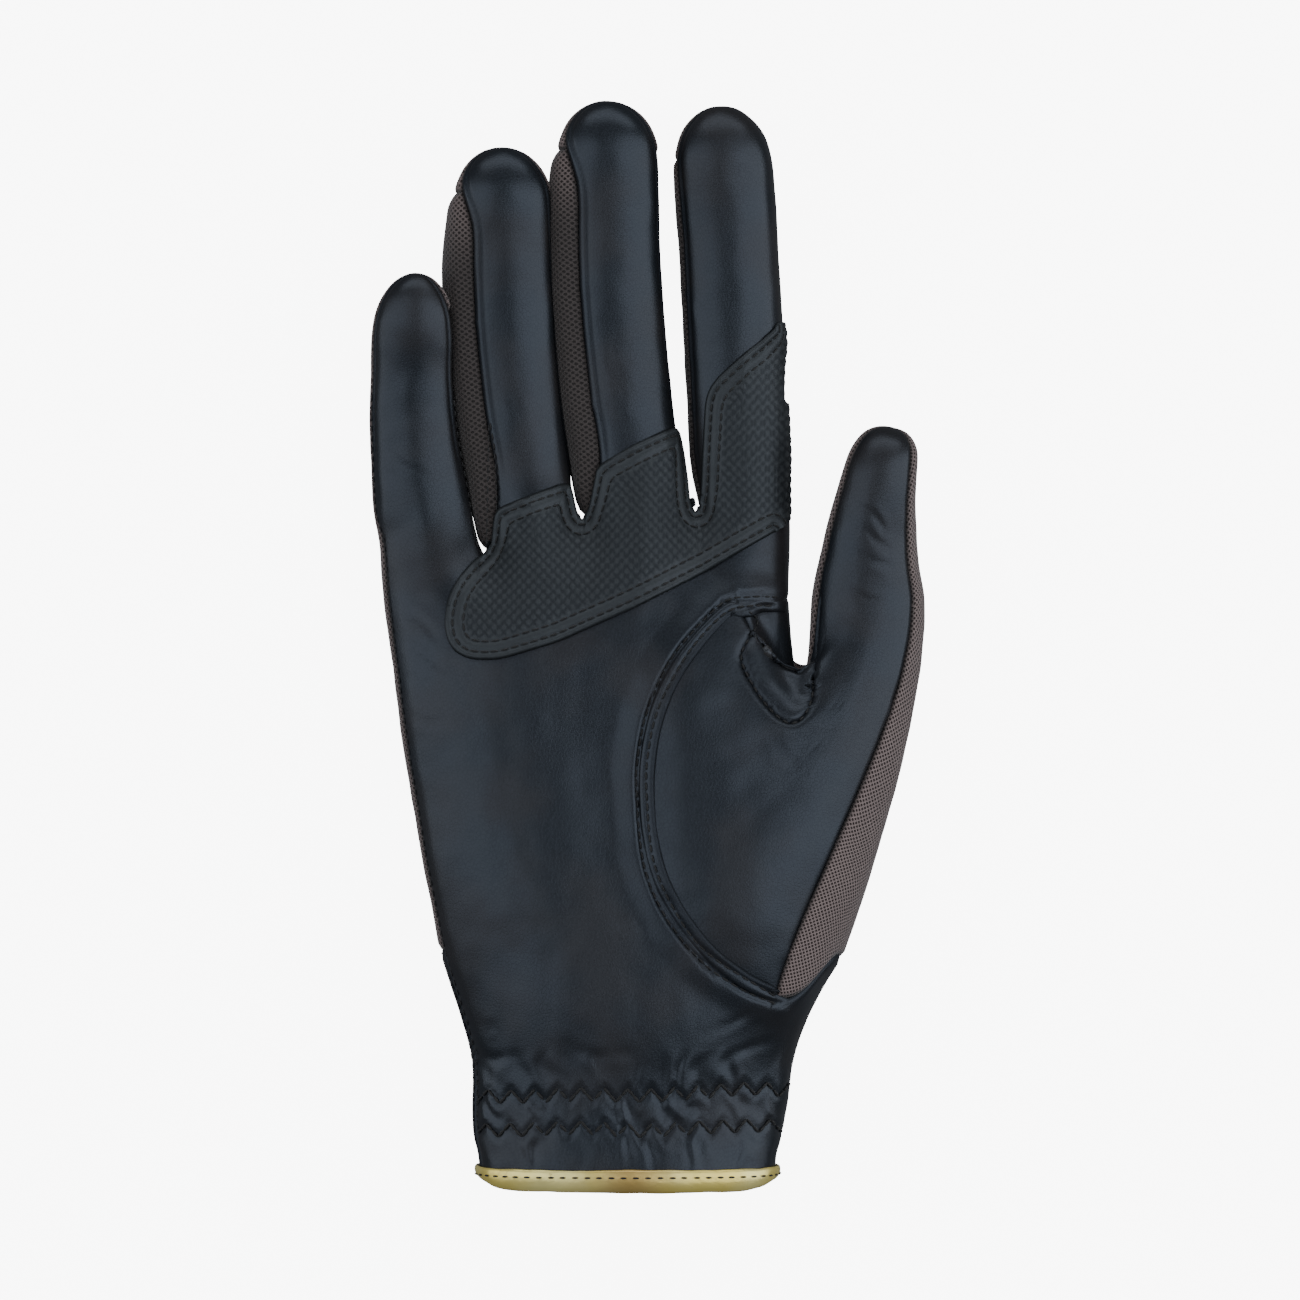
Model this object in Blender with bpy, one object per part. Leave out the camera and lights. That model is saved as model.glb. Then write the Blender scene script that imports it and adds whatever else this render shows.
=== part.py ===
"""A riding glove for the right hand, lying on its back with the palm up.

Fingers point along +Y, the thumb lies on the +X side and the back of the hand rests on z = 0.
The outer skin is one grid: rows of sections up the hand, a tube of rings for each finger and for
the thumb. Each panel is the part of that grid between its seams, given its wall inwards.
"""

import math
from collections import namedtuple

import bmesh
import bpy
from mathutils import Vector, geometry, interpolate
from mathutils.bvhtree import BVHTree

# Driving sizes, in metres
PALM_WIDTH = 0.0892
PALM_LENGTH = 0.1453
PALM_DEPTH = 0.0275
CUFF_DEPTH = 0.0285
FINGER_LENGTH = 0.0895
FINGER_WIDTH = 0.0226
FINGER_DEPTH = 0.0182
FINGER_CURL = 0.0075
TIP_ROUND = 0.0140
THUMB_WIDTH = 0.0235
THUMB_DEPTH = 0.0205
THUMB_LIFT = 0.0050
WEB_WIDTH = 0.0026
WEB_DIP = 0.0065
PALM_HOLLOW = 0.0020
LEATHER_WALL = 0.0012
MESH_WALL = 0.0010
PATCH_WALL = 0.0008
PATCH_CLEARANCE = 0.0002
PATCH_CORNER = 0.0022
SEAM_GAP = 0.0003
SMALL_PANEL_SHRINK = 0.0003
MOST_MITER = 2.5
SHARP_CORNER = 0.5
BINDING_WALL = 0.0009
BINDING_HEIGHT = 0.0042
BINDING_TURN_IN = 0.0036
BINDING_LEAST = 0.0012
HEM_ROUND = 0.0026

# Where the glove stands in its own frame: the origin lies under the middle of the palm
HEM_Y = -0.0880
WEB_Y = HEM_Y + PALM_LENGTH

# How many cells each stretch of the grid has
FINGER_COLUMNS = 6
FINGERS_COUNT = 4
FINGER_STEP = FINGER_COLUMNS + 1
COLUMNS = FINGERS_COUNT * FINGER_STEP - 1
SIDE_CELLS = 3
THUMB_COLUMN = COLUMNS - 4
THUMB_FROM_ROW = 6
THUMB_TO_ROW = 14
PATCH_STEP = 0.0032
PATCH_CORNER_CUTS = 3
HEM_ROWS = 2

# The roundness of each section: 2 is an ellipse, more is squarer
PALM_SQUARENESS = 2.6
BACK_SQUARENESS = 3.4
FINGER_SQUARENESS = 2.25
SIDE_HEIGHT = 0.42
BACK_FLATTENED = 1.08
LEFT_SEAM_ACROSS = 0.982
RIGHT_SEAM_ACROSS = 0.955
BACK_ARC_SHIFT = 0.30
SIDE_BULGE = 0.7
HEM_CORNER_SQUARENESS = 12

# The palm's hollow, from the middle across and along, as shares of half the width and the length
HOLLOW_REACH_ACROSS = 0.45
HOLLOW_PLACE = 0.6
HOLLOW_REACH_ALONG = 0.2

# How far the cuff's rows stand off the table, as shares of the binding's thickness
CUFF_STAND = (1.25, 1.25, 0.9, 0.3)

# A finger's section along its length: depth as shares of its full depth, places as shares of its
# length from the web, and how its tip rounds off, rises and draws its seams together
ROOT_DEPTH = 1.04
END_DEPTH = 0.93
TIP_DEPTH = 0.22
TIP_SQUARENESS = 2.1
TIP_LIFT = 0.30
TIP_HEIGHT = 0.41
CURL_POWER = 2.2
BACK_FLAT = 0.04
WIDTH_PLACES = (0.1, 0.5, 0.9)
SEAMS_CLOSE_FROM = 0.78
SEAMS_CLOSE_OVER = 0.2
SEAM_LEFT_AT_TIP = 168
WEB_ROOT_DROP = 0.12
SLOPE_STEP = 0.01

# Rows of the body from the hem to the webs. Left, arc and right are the edge of the little finger's
# side, the thumb's arc and the edge of the thumb's side: x in palm widths from the middle, y in
# palm lengths from the hem. Depth is a share of the palm's depth, or of the cuff's below the thumb.
BodyRow = namedtuple("BodyRow", "left_x left_y arc_x arc_y right_x right_y depth")
BODY_ROWS = (
    BodyRow(-0.250, 0.006, 0.349, 0.006, 0.468, 0.006, 1.00),
    BodyRow(-0.255, 0.036, 0.352, 0.036, 0.472, 0.036, 1.00),
    BodyRow(-0.266, 0.085, 0.360, 0.085, 0.485, 0.085, 0.98),
    BodyRow(-0.267, 0.135, 0.371, 0.135, 0.499, 0.135, 0.98),
    BodyRow(-0.268, 0.190, 0.372, 0.190, 0.512, 0.192, 1.00),
    BodyRow(-0.295, 0.250, 0.358, 0.252, 0.553, 0.268, 1.02),
    BodyRow(-0.347, 0.353, 0.313, 0.335, 0.630, 0.362, 1.06),
    BodyRow(-0.369, 0.422, 0.243, 0.384, 0.617, 0.427, 1.06),
    BodyRow(-0.387, 0.476, 0.182, 0.445, 0.600, 0.487, 1.05),
    BodyRow(-0.404, 0.530, 0.150, 0.513, 0.580, 0.546, 1.04),
    BodyRow(-0.418, 0.584, 0.138, 0.583, 0.563, 0.606, 1.02),
    BodyRow(-0.432, 0.643, 0.146, 0.656, 0.546, 0.665, 1.00),
    BodyRow(-0.447, 0.704, 0.175, 0.727, 0.529, 0.725, 0.98),
    BodyRow(-0.462, 0.772, 0.235, 0.796, 0.515, 0.799, 0.95),
    BodyRow(-0.477, 0.842, 0.335, 0.865, 0.500, 0.874, 0.90),
    BodyRow(-0.489, 0.903, 0.350, 0.930, 0.500, 0.932, 0.85),
    BodyRow(-0.498, 0.963, 0.352, 1.003, 0.502, 0.993, 0.80),
)
WEB_ROW = len(BODY_ROWS) - 1

# How far the rows below the thumb sag towards its side, in palm lengths, column by column
KNIT_EDGE_SAG = {5: (0.0, 0.012, 0.021, 0.018, 0.006), 6: (0.0, 0.042, 0.065, 0.061, 0.020)}

# The three webs, in palm widths and palm lengths, and how much of their place each row takes
Web = namedtuple("Web", "x y")
WEBS = (Web(-0.233, 0.951), Web(0.0, 1.0), Web(0.272, 1.010))
WEB_PULL = {WEB_ROW: 1.0, WEB_ROW - 1: 0.5, WEB_ROW - 2: 0.15}
WEB_DIPS = {WEB_ROW: 1.0, WEB_ROW - 1: 0.35, WEB_ROW - 2: 0.1}
WEB_REACH = 0.0075
WEB_BACK_RISE = 0.0032

# Fingers, from the little one to the index: x in palm widths, y in finger lengths from the webs,
# widths as shares of the finger's width, curl as a share, and the seams' angles round the section,
# from 0 on the thumb's side over 90 on top
Finger = namedtuple(
    "Finger", "name mid_x mid_y tip_x tip_y low_width mid_width end_width curl seam_right seam_left"
)
FINGERS = (
    Finger("little", -0.408, 0.255, -0.395, 0.582, 1.01, 0.870, 0.820, 1.25, 22, 166),
    Finger("ring", -0.182, 0.422, -0.190, 0.888, 0.940, 1.015, 0.985, 1.1, 14, 124),
    Finger("middle", 0.072, 0.500, 0.065, 1.0, 1.000, 1.030, 1.015, 1.0, 12, 124),
    Finger("index", 0.361, 0.490, 0.328, 0.986, 0.930, 0.955, 0.960, 0.9, 4, 160),
)
BACK_SEAM_LEFT = 212
BACK_SEAM_RIGHT = 334
FINGER_RINGS = (0.13, 0.27, 0.41, 0.55, 0.68, 0.79, 0.88, 0.94, 0.978, 0.994)
FOURCHETTE_RINGS = 7

# The thumb from where it stands free to its tip: the middle in palm widths and palm lengths,
# width and depth as shares, and the height of the middle as a share of the thumb's lift
ThumbRing = namedtuple("ThumbRing", "x y width depth lift")
THUMB_RINGS = (
    ThumbRing(0.6905, 0.866, 1.060, 1.02, 0.0),
    ThumbRing(0.6920, 0.905, 0.990, 0.99, 0.15),
    ThumbRing(0.6960, 0.950, 0.885, 0.95, 0.3),
    ThumbRing(0.7030, 0.995, 0.800, 0.91, 0.5),
    ThumbRing(0.7130, 1.037, 0.715, 0.86, 0.7),
    ThumbRing(0.7262, 1.078, 0.650, 0.78, 0.85),
    ThumbRing(0.7400, 1.107, 0.540, 0.62, 0.95),
    ThumbRing(0.7480, 1.123, 0.340, 0.38, 1.0),
)
THUMB_TIP = ThumbRing(0.7510, 1.1305, 0.0, 0.0, 1.0)
THUMB_CENTRE_HEIGHT = 0.0118
THUMB_ROOT_STEPS = (0.13, 0.27, 0.41, 0.56, 0.71, 0.86)
GUSSET_RINGS = 4

# How the thumb's surface leaves the hand along each stretch of its opening, in metres, and the
# angle round the thumb that the stretch reaches: 0 towards the index finger, 90 on top
Leave = namedtuple("Leave", "x y z angle")
LEAVE_CROTCH_FRONT = Leave(0.0010, -0.0235, -0.0020, 24)
LEAVE_TOP_CORNER = Leave(0.0090, -0.0110, 0.0020, 52)
LEAVE_ARC_MIDDLE = Leave(0.0200, 0.0010, 0.0055, 90)
LEAVE_ARC_LOW = Leave(0.0110, 0.0190, 0.0045, 122)
LEAVE_SEAM = Leave(0.0062, 0.0230, 0.0030, 140)
LEAVE_OUTER_FRONT = Leave(0.0090, 0.0260, 0.0010, 168)
LEAVE_OUTER_BACK = Leave(0.0090, 0.0260, -0.0005, 194)
LEAVE_BACK_LOW = Leave(0.0110, 0.0190, 0.0, 238)
LEAVE_BACK_MIDDLE = Leave(0.0180, 0.0010, 0.0, 270)
LEAVE_BACK_TOP = Leave(0.0090, -0.0110, 0.0, 312)
LEAVE_CROTCH_BACK = Leave(0.0010, -0.0215, 0.0030, 336)
THUMB_ARRIVE = 0.0230

# The patch's outline: x in palm widths from the middle, y in palm lengths from the hem
PatchPoint = namedtuple("PatchPoint", "x y")
PATCH_OUTLINE = (
    PatchPoint(0.481, 1.294), PatchPoint(0.437, 1.262), PatchPoint(0.375, 1.232),
    PatchPoint(0.315, 1.196), PatchPoint(0.300, 1.172), PatchPoint(0.294, 1.090),
    PatchPoint(0.290, 1.032), PatchPoint(0.283, 1.008), PatchPoint(0.272, 1.000),
    PatchPoint(0.259, 1.008), PatchPoint(0.246, 1.060), PatchPoint(0.226, 1.130),
    PatchPoint(0.206, 1.128), PatchPoint(0.120, 1.102), PatchPoint(0.036, 1.072),
    PatchPoint(0.024, 1.040), PatchPoint(0.014, 1.002), PatchPoint(0.0, 0.988),
    PatchPoint(-0.016, 0.998), PatchPoint(-0.036, 1.050), PatchPoint(-0.120, 1.030),
    PatchPoint(-0.209, 1.008), PatchPoint(-0.216, 0.968), PatchPoint(-0.226, 0.946),
    PatchPoint(-0.246, 0.938), PatchPoint(-0.268, 0.930), PatchPoint(-0.298, 0.908),
    PatchPoint(-0.322, 0.880), PatchPoint(-0.332, 0.846), PatchPoint(-0.328, 0.818),
    PatchPoint(-0.308, 0.796), PatchPoint(-0.270, 0.784), PatchPoint(-0.200, 0.784),
    PatchPoint(-0.060, 0.810), PatchPoint(0.130, 0.862), PatchPoint(0.290, 0.912),
    PatchPoint(0.440, 0.966), PatchPoint(0.496, 0.988), PatchPoint(0.495, 1.130),
    PatchPoint(0.489, 1.220),
)

LEATHER_COLOUR = (0.016, 0.020, 0.025)
PATCH_COLOUR = (0.020, 0.023, 0.027)
KNIT_COLOUR = (0.055, 0.042, 0.038)
GOLD_COLOUR = (0.62, 0.50, 0.25)


def blend(a, b, share):
    return a + (b - a) * share


def smooth(share):
    share = min(1.0, max(0.0, share))
    return share * share * (3 - 2 * share)


def curve_through(values, places, at):
    """A smooth curve through values given at rising places."""
    last = len(places) - 1
    at = min(places[last], max(places[0], at))
    i = next(n for n in range(last) if at <= places[n + 1])
    span = places[i + 1] - places[i]
    share = (at - places[i]) / span

    def slope(n):
        low, high = max(0, n - 1), min(last, n + 1)
        return (values[high] - values[low]) / (places[high] - places[low])

    a, b = values[i], values[i + 1]
    rise = b - a
    start, end = slope(i) * span, slope(i + 1) * span
    return a + share * (start + share * ((3 * rise - 2 * start - end) + share * (start + end - 2 * rise)))


def bezier(a, b, c, d, t):
    s = 1 - t
    return a * s**3 + b * 3 * s * s * t + c * 3 * s * t * t + d * t**3


def crown(across, squareness):
    """The height of a rounded section at a place across it, 1 in the middle and 0 at the edge."""
    return max(0.0, 1 - min(1.0, abs(across)) ** squareness) ** (1 / squareness)


def body_x(share):
    return share * PALM_WIDTH


def body_y(share):
    return HEM_Y + share * PALM_LENGTH


class Skin:
    """The glove's outer surface: named points, and the faces between them by panel."""

    def __init__(self):
        self.points = {}
        self.faces = []

    def face(self, panel, *keys):
        self.faces.append((panel, keys))

    def strip(self, panels, low, high):
        """Faces between two chains of points, one panel's name for each cell."""
        for i, panel in enumerate(panels):
            self.face(panel, low[i], low[i + 1], high[i + 1], high[i])


def row_plan(row, column, front=True):
    """Where a point of the body's grid lies in plan. The back's arc lies nearer to the thumb."""
    r = BODY_ROWS[row]
    left = Vector((body_x(r.left_x), body_y(r.left_y)))
    arc = Vector((body_x(r.arc_x), body_y(r.arc_y)))
    right = Vector((body_x(r.right_x), body_y(r.right_y)))
    middle = (left + right) / 2
    half = (right.x - left.x) / 2
    left.x += half * (1 - LEFT_SEAM_ACROSS)
    right.x -= half * (1 - RIGHT_SEAM_ACROSS)
    if not front:
        arc = blend(arc, right, BACK_ARC_SHIFT)
    if column <= THUMB_COLUMN:
        point = blend(left, arc, column / THUMB_COLUMN)
    else:
        point = blend(arc, right, (column - THUMB_COLUMN) / (COLUMNS - THUMB_COLUMN))
        sag = KNIT_EDGE_SAG.get(row)
        if sag:
            point.y -= sag[column - THUMB_COLUMN] * PALM_LENGTH
    return point, middle


def web_place(column):
    """The plan of the row that runs through the webs."""
    finger = column // FINGER_STEP
    half = Vector((WEB_WIDTH / 2, 0))
    webs = [Vector((body_x(w.x), body_y(w.y))) for w in WEBS]
    start = webs[finger - 1] + half if finger else row_plan(WEB_ROW, 0)[0]
    end = webs[finger] - half if finger < len(webs) else row_plan(WEB_ROW, COLUMNS)[0]
    return blend(start, end, (column - finger * FINGER_STEP) / FINGER_COLUMNS)


def hem_round(across):
    return HEM_ROUND * abs(across) ** HEM_CORNER_SQUARENESS


def body_point(row, column, front):
    r = BODY_ROWS[row]
    point, middle = row_plan(row, column, front)
    pull = WEB_PULL.get(row, 0.0)
    if pull:
        point = point + (web_place(column) - row_plan(WEB_ROW, column, front)[0]) * pull
    half = body_x(r.right_x - r.left_x) / 2
    across = (point.x - middle.x) / half
    if row < HEM_ROWS:
        point.y += hem_round(across)
    return section_height(row, point, across, front)


def depth_of(row):
    full = CUFF_DEPTH if row < THUMB_FROM_ROW else PALM_DEPTH
    return BODY_ROWS[row].depth * full


def stand_of(row):
    """The binding is thicker than the leather, so the cuff stands off the table by that much."""
    share = CUFF_STAND[row] if row < len(CUFF_STAND) else 0.0
    return (SEAM_GAP + BINDING_WALL) * share


def section_height(row, point, across, front):
    depth = depth_of(row)
    side = SIDE_HEIGHT * depth
    stand = stand_of(row)
    dip = WEB_DIPS.get(row, 0.0)
    near = max(math.exp(-(((point.x - body_x(w.x)) / WEB_REACH) ** 2)) for w in WEBS)
    if front:
        z = side + (depth - side) * crown(across, PALM_SQUARENESS)
        along = (point.y - HEM_Y) / PALM_LENGTH
        off_across = across / HOLLOW_REACH_ACROSS
        off_along = (along - HOLLOW_PLACE) / HOLLOW_REACH_ALONG
        z -= PALM_HOLLOW * math.exp(-(off_across**2) - off_along**2)
        z -= WEB_DIP * dip * near
    else:
        z = max(0.0, side - side * BACK_FLATTENED * crown(across, BACK_SQUARENESS))
        z += WEB_BACK_RISE * dip * near
    return Vector((point.x, point.y, z * (1 - stand / depth) + stand))


def side_chain(skin, row, right):
    """Points round the hand's side, from the front seam to the back seam."""
    column = COLUMNS if right else 0
    front = skin.points["front", row, column]
    back = skin.points["back", row, column]
    r = BODY_ROWS[row]
    edge = body_x(r.right_x if right else r.left_x)
    names = [("front", row, column)]
    for i in range(1, SIDE_CELLS):
        share = i / SIDE_CELLS
        bulge = math.sin(math.pi * share)
        point = blend(front, back, share)
        point.x += (edge - point.x) * bulge**SIDE_BULGE
        if row < HEM_ROWS:
            point.y += (HEM_ROUND - hem_round(RIGHT_SEAM_ACROSS)) * bulge
        skin.points["side", row, right, i] = point
        names.append(("side", row, right, i))
    names.append(("back", row, column))
    return names


def body(skin):
    for row in range(len(BODY_ROWS)):
        inside_thumb = THUMB_FROM_ROW < row < THUMB_TO_ROW
        for column in range(COLUMNS + 1):
            if inside_thumb and column > THUMB_COLUMN:
                continue
            skin.points["front", row, column] = body_point(row, column, True)
            skin.points["back", row, column] = body_point(row, column, False)
    chains = {}
    for row in range(len(BODY_ROWS)):
        chains[row, False] = side_chain(skin, row, False)
        if not THUMB_FROM_ROW < row < THUMB_TO_ROW:
            chains[row, True] = side_chain(skin, row, True)
    for row in range(WEB_ROW):
        at_thumb = THUMB_FROM_ROW <= row < THUMB_TO_ROW
        last = THUMB_COLUMN if at_thumb else COLUMNS
        back_panel = "cuff_back" if row < THUMB_FROM_ROW else "back_mesh"
        for side, panel in (("front", "palm_leather"), ("back", back_panel)):
            low = [(side, row, c) for c in range(last + 1)]
            high = [(side, row + 1, c) for c in range(last + 1)]
            skin.strip([panel] * last, low, high)
        skin.strip([back_panel] * SIDE_CELLS, chains[row, False], chains[row + 1, False])
        if not at_thumb:
            panels = ["palm_leather"] * (SIDE_CELLS - 1) + [back_panel]
            skin.strip(panels, chains[row, True], chains[row + 1, True])
    return chains


def web_chain(skin, web, right):
    """One edge of the web between two fingers, from the palm's side to the back."""
    column = web * FINGER_STEP + FINGER_COLUMNS + right
    front = skin.points["front", WEB_ROW, column]
    back = skin.points["back", WEB_ROW, column]
    names = [("front", WEB_ROW, column)]
    for i in range(1, SIDE_CELLS):
        share = i / SIDE_CELLS
        point = blend(front, back, share)
        point.y -= WEB_ROOT_DROP * WEB_DIP * math.sin(math.pi * share)
        skin.points["web", web, right, i] = point
        names.append(("web", web, right, i))
    names.append(("back", WEB_ROW, column))
    return names


def finger_middle(finger, root, t):
    """The middle line in plan, through the root, the middle and the tip."""
    mid = Vector((body_x(finger.mid_x), WEB_Y + finger.mid_y * FINGER_LENGTH))
    tip = Vector((body_x(finger.tip_x), WEB_Y + finger.tip_y * FINGER_LENGTH))
    control = mid * 2 - (root + tip) / 2
    return root * (1 - t) ** 2 + control * 2 * t * (1 - t) + tip * t**2


def round_off(distance):
    """The share of its full width that a tip has at a distance from its end."""
    left = 1 - min(1.0, distance / TIP_ROUND)
    return math.sqrt(max(0.0, 1 - left**TIP_SQUARENESS))


def ring_angles(right, left, back_left, back_right):
    """Angles of a finger's ring: the front from left to right, then the strips and the back."""
    front = [blend(left, right, i / FINGER_COLUMNS) for i in range(FINGER_COLUMNS + 1)]
    right_strip = [blend(right + 360, back_right, i / SIDE_CELLS) for i in range(1, SIDE_CELLS)]
    back = [blend(back_right, back_left, i / FINGER_COLUMNS) for i in range(FINGER_COLUMNS + 1)]
    left_strip = [blend(back_left, left, i / SIDE_CELLS) for i in range(1, SIDE_CELLS)]
    return front + right_strip + back + left_strip


def rounded_power(value, squareness):
    return math.copysign(abs(value) ** (2 / squareness), value)


def finger_tube(skin, number, left_chain, right_chain):
    finger = FINGERS[number]
    first = number * FINGER_STEP
    last = first + FINGER_COLUMNS
    previous = [("front", WEB_ROW, c) for c in range(first, last + 1)]
    previous += right_chain[1:-1]
    previous += [("back", WEB_ROW, c) for c in range(last, first - 1, -1)]
    previous += left_chain[-2:0:-1]
    a, b = skin.points[previous[0]], skin.points[previous[FINGER_COLUMNS]]
    root = Vector(((a.x + b.x) / 2, (a.y + b.y) / 2))
    length = (finger_middle(finger, root, 1) - root).length
    left_panel = "back_mesh" if number == 0 else FOURCHETTES[number - 1]
    right_panel = "palm_leather" if number == FINGERS_COUNT - 1 else FOURCHETTES[number]
    for ring, t in enumerate(FINGER_RINGS):
        middle = finger_middle(finger, root, t)
        beyond, before = (finger_middle(finger, root, t + s) for s in (SLOPE_STEP, -SLOPE_STEP))
        ahead = (beyond - before).normalized()
        across = Vector((ahead.y, -ahead.x, 0))
        widths = (finger.low_width, finger.mid_width, finger.end_width)
        half = curve_through(widths, WIDTH_PLACES, t) * FINGER_WIDTH / 2
        shape = round_off((1 - t) * length)
        depth = FINGER_DEPTH * blend(ROOT_DEPTH, END_DEPTH, t) * blend(TIP_DEPTH, 1, shape)
        curl = FINGER_CURL * finger.curl * t**CURL_POWER + TIP_LIFT * FINGER_DEPTH * (1 - shape)
        closing = smooth((t - SEAMS_CLOSE_FROM) / SEAMS_CLOSE_OVER)
        left = blend(finger.seam_left, SEAM_LEFT_AT_TIP, closing)
        angles = ring_angles(finger.seam_right, left, BACK_SEAM_LEFT, BACK_SEAM_RIGHT)
        current = []
        for i, angle in enumerate(angles):
            turn = math.radians(angle)
            out = rounded_power(math.cos(turn), FINGER_SQUARENESS) * half * shape
            up = rounded_power(math.sin(turn), FINGER_SQUARENESS) * depth / 2
            height = max(BACK_FLAT * depth, depth * (1 + BACK_FLAT / 2) / 2 + up)
            point = Vector((middle.x, middle.y, 0)) + across * out
            point.z = curl + height - BACK_FLAT * depth
            skin.points["finger", number, ring, i] = point
            current.append(("finger", number, ring, i))
        inner = ring < FOURCHETTE_RINGS
        front = ["palm_leather"] * FINGER_COLUMNS
        back = ["back_mesh"] * FINGER_COLUMNS
        on_right = [right_panel if inner else "back_mesh"] * SIDE_CELLS
        if number == FINGERS_COUNT - 1:
            on_right = ["palm_leather"] * (SIDE_CELLS - 1) + ["back_mesh"]
        on_left = [left_panel if inner else "back_mesh"] * SIDE_CELLS
        panels = front + on_right + back + on_left
        skin.strip(panels, previous + previous[:1], current + current[:1])
        previous = current
    tip = finger_middle(finger, root, 1)
    height = FINGER_CURL * finger.curl + TIP_HEIGHT * FINGER_DEPTH
    skin.points["tip", number] = Vector((tip.x, tip.y, height))
    loop = previous + previous[:1]
    for i in range(len(previous)):
        in_front = i < FINGER_COLUMNS
        if number == FINGERS_COUNT - 1:
            in_front = i < FINGER_COLUMNS + SIDE_CELLS - 1
        panel = "palm_leather" if in_front else "back_mesh"
        skin.face(panel, loop[i], loop[i + 1], ("tip", number))


def opening(chains):
    """The hand's opening for the thumb: each point's key, how the surface leaves it, its panels."""
    rows = range(THUMB_FROM_ROW, THUMB_TO_ROW)
    columns = list(range(THUMB_COLUMN, COLUMNS + 1))
    arc = [("front", r, THUMB_COLUMN) for r in rows]
    top = [("front", THUMB_TO_ROW, c) for c in columns]
    crotch = chains[THUMB_TO_ROW, True][1:-1]
    back_top = [("back", THUMB_TO_ROW, c) for c in reversed(columns)]
    back_arc = [("back", r, THUMB_COLUMN) for r in reversed(rows)]
    back_low = [("back", THUMB_FROM_ROW, c) for c in columns[1:]]
    outer = chains[THUMB_FROM_ROW, True][-2:0:-1]
    low = [("front", THUMB_FROM_ROW, c) for c in reversed(columns[1:])]
    keys = arc + top + crotch + back_top + back_arc + back_low + outer + low

    half = len(arc) // 2
    marks = {
        0: LEAVE_ARC_LOW,
        half: LEAVE_ARC_MIDDLE,
        len(arc): LEAVE_TOP_CORNER,
        len(arc) + len(top) - 1: LEAVE_CROTCH_FRONT,
    }
    here = len(arc) + len(top) + len(crotch)
    marks[here] = LEAVE_CROTCH_BACK
    marks[here + len(back_top) - 1] = LEAVE_BACK_TOP
    marks[here + len(back_top) + half - 1] = LEAVE_BACK_MIDDLE
    here += len(back_top) + len(back_arc) - 1
    marks[here] = LEAVE_BACK_LOW
    here += len(back_low)
    marks[here] = LEAVE_OUTER_BACK
    here += len(outer) + 1
    marks[here] = LEAVE_OUTER_FRONT
    marks[here + 2] = LEAVE_SEAM

    leather = "thumb_leather"
    mesh = "thumb_mesh"
    panels = [leather] * len(arc) + [leather] + ["gusset"] * (len(top) - 2)
    panels += ["gusset"] * SIDE_CELLS
    panels += [mesh] * (len(keys) - len(panels) - 2) + [leather] * 2
    return keys, marks, panels


def leaving(marks, count, i):
    """The way out of the opening and the angle to reach, between the marked points."""
    places = sorted(marks)
    below = [p for p in places if p <= i] or [places[-1] - count]
    above = [p for p in places if p > i] or [places[0] + count]
    low, high = below[-1], above[0]
    share = (i - low) / (high - low)
    a, b = marks[low % count], marks[high % count]
    turn = (a.angle - b.angle) % 360
    turn = turn - 360 if turn > 180 else turn
    way = blend(Vector((a.x, a.y, a.z)), Vector((b.x, b.y, b.z)), smooth(share))
    return way, a.angle - turn * share


def thumb_section(ring, ahead, angle):
    across = Vector((-ahead.y, ahead.x, 0))
    turn = math.radians(angle)
    out = rounded_power(math.cos(turn), FINGER_SQUARENESS) * ring.width * THUMB_WIDTH / 2
    up = rounded_power(math.sin(turn), FINGER_SQUARENESS) * ring.depth * THUMB_DEPTH / 2
    middle = Vector((body_x(ring.x), body_y(ring.y), THUMB_CENTRE_HEIGHT + ring.lift * THUMB_LIFT))
    return middle + across * out + Vector((0, 0, up))


def thumb_ahead(number):
    rings = THUMB_RINGS + (THUMB_TIP,)
    a, b = rings[max(0, number - 1)], rings[min(len(rings) - 1, number + 1)]
    return Vector((body_x(b.x - a.x), body_y(b.y) - body_y(a.y), 0)).normalized()


def thumb(skin, chains):
    keys, marks, panels = opening(chains)
    count = len(keys)
    ways = [leaving(marks, count, i) for i in range(count)]
    previous = keys
    ring = 0
    arrive = thumb_ahead(0) * THUMB_ARRIVE
    for t in THUMB_ROOT_STEPS:
        current = []
        for i, (way, angle) in enumerate(ways):
            start = skin.points[keys[i]]
            end = thumb_section(THUMB_RINGS[0], thumb_ahead(0), angle)
            point = bezier(start, start + way, end - arrive, end, t)
            point.z = max(point.z, 0.0)
            skin.points["thumb", ring, i] = point
            current.append(("thumb", ring, i))
        add_thumb_band(skin, previous, current, panels, ring)
        previous = current
        ring += 1
    for number, section in enumerate(THUMB_RINGS):
        current = []
        for i, (way, angle) in enumerate(ways):
            skin.points["thumb", ring, i] = thumb_section(section, thumb_ahead(number), angle)
            current.append(("thumb", ring, i))
        add_thumb_band(skin, previous, current, panels, ring)
        previous = current
        ring += 1
    end = THUMB_TIP
    height = THUMB_CENTRE_HEIGHT + end.lift * THUMB_LIFT
    skin.points["tip", "thumb"] = Vector((body_x(end.x), body_y(end.y), height))
    names = thumb_panels(panels, ring)
    loop = previous + previous[:1]
    for i in range(count):
        skin.face(names[i], loop[i], loop[i + 1], ("tip", "thumb"))


def thumb_panels(panels, ring):
    """Past its rings the gusset gives way to leather in front and knit behind."""
    if ring < GUSSET_RINGS:
        return ["thumb_gusset" if p == "gusset" else p for p in panels]
    first = panels.index("gusset")
    total = panels.count("gusset")
    front = total // 2
    return [
        p if p != "gusset" else ("thumb_leather" if i - first < front else "thumb_mesh")
        for i, p in enumerate(panels)
    ]


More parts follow.
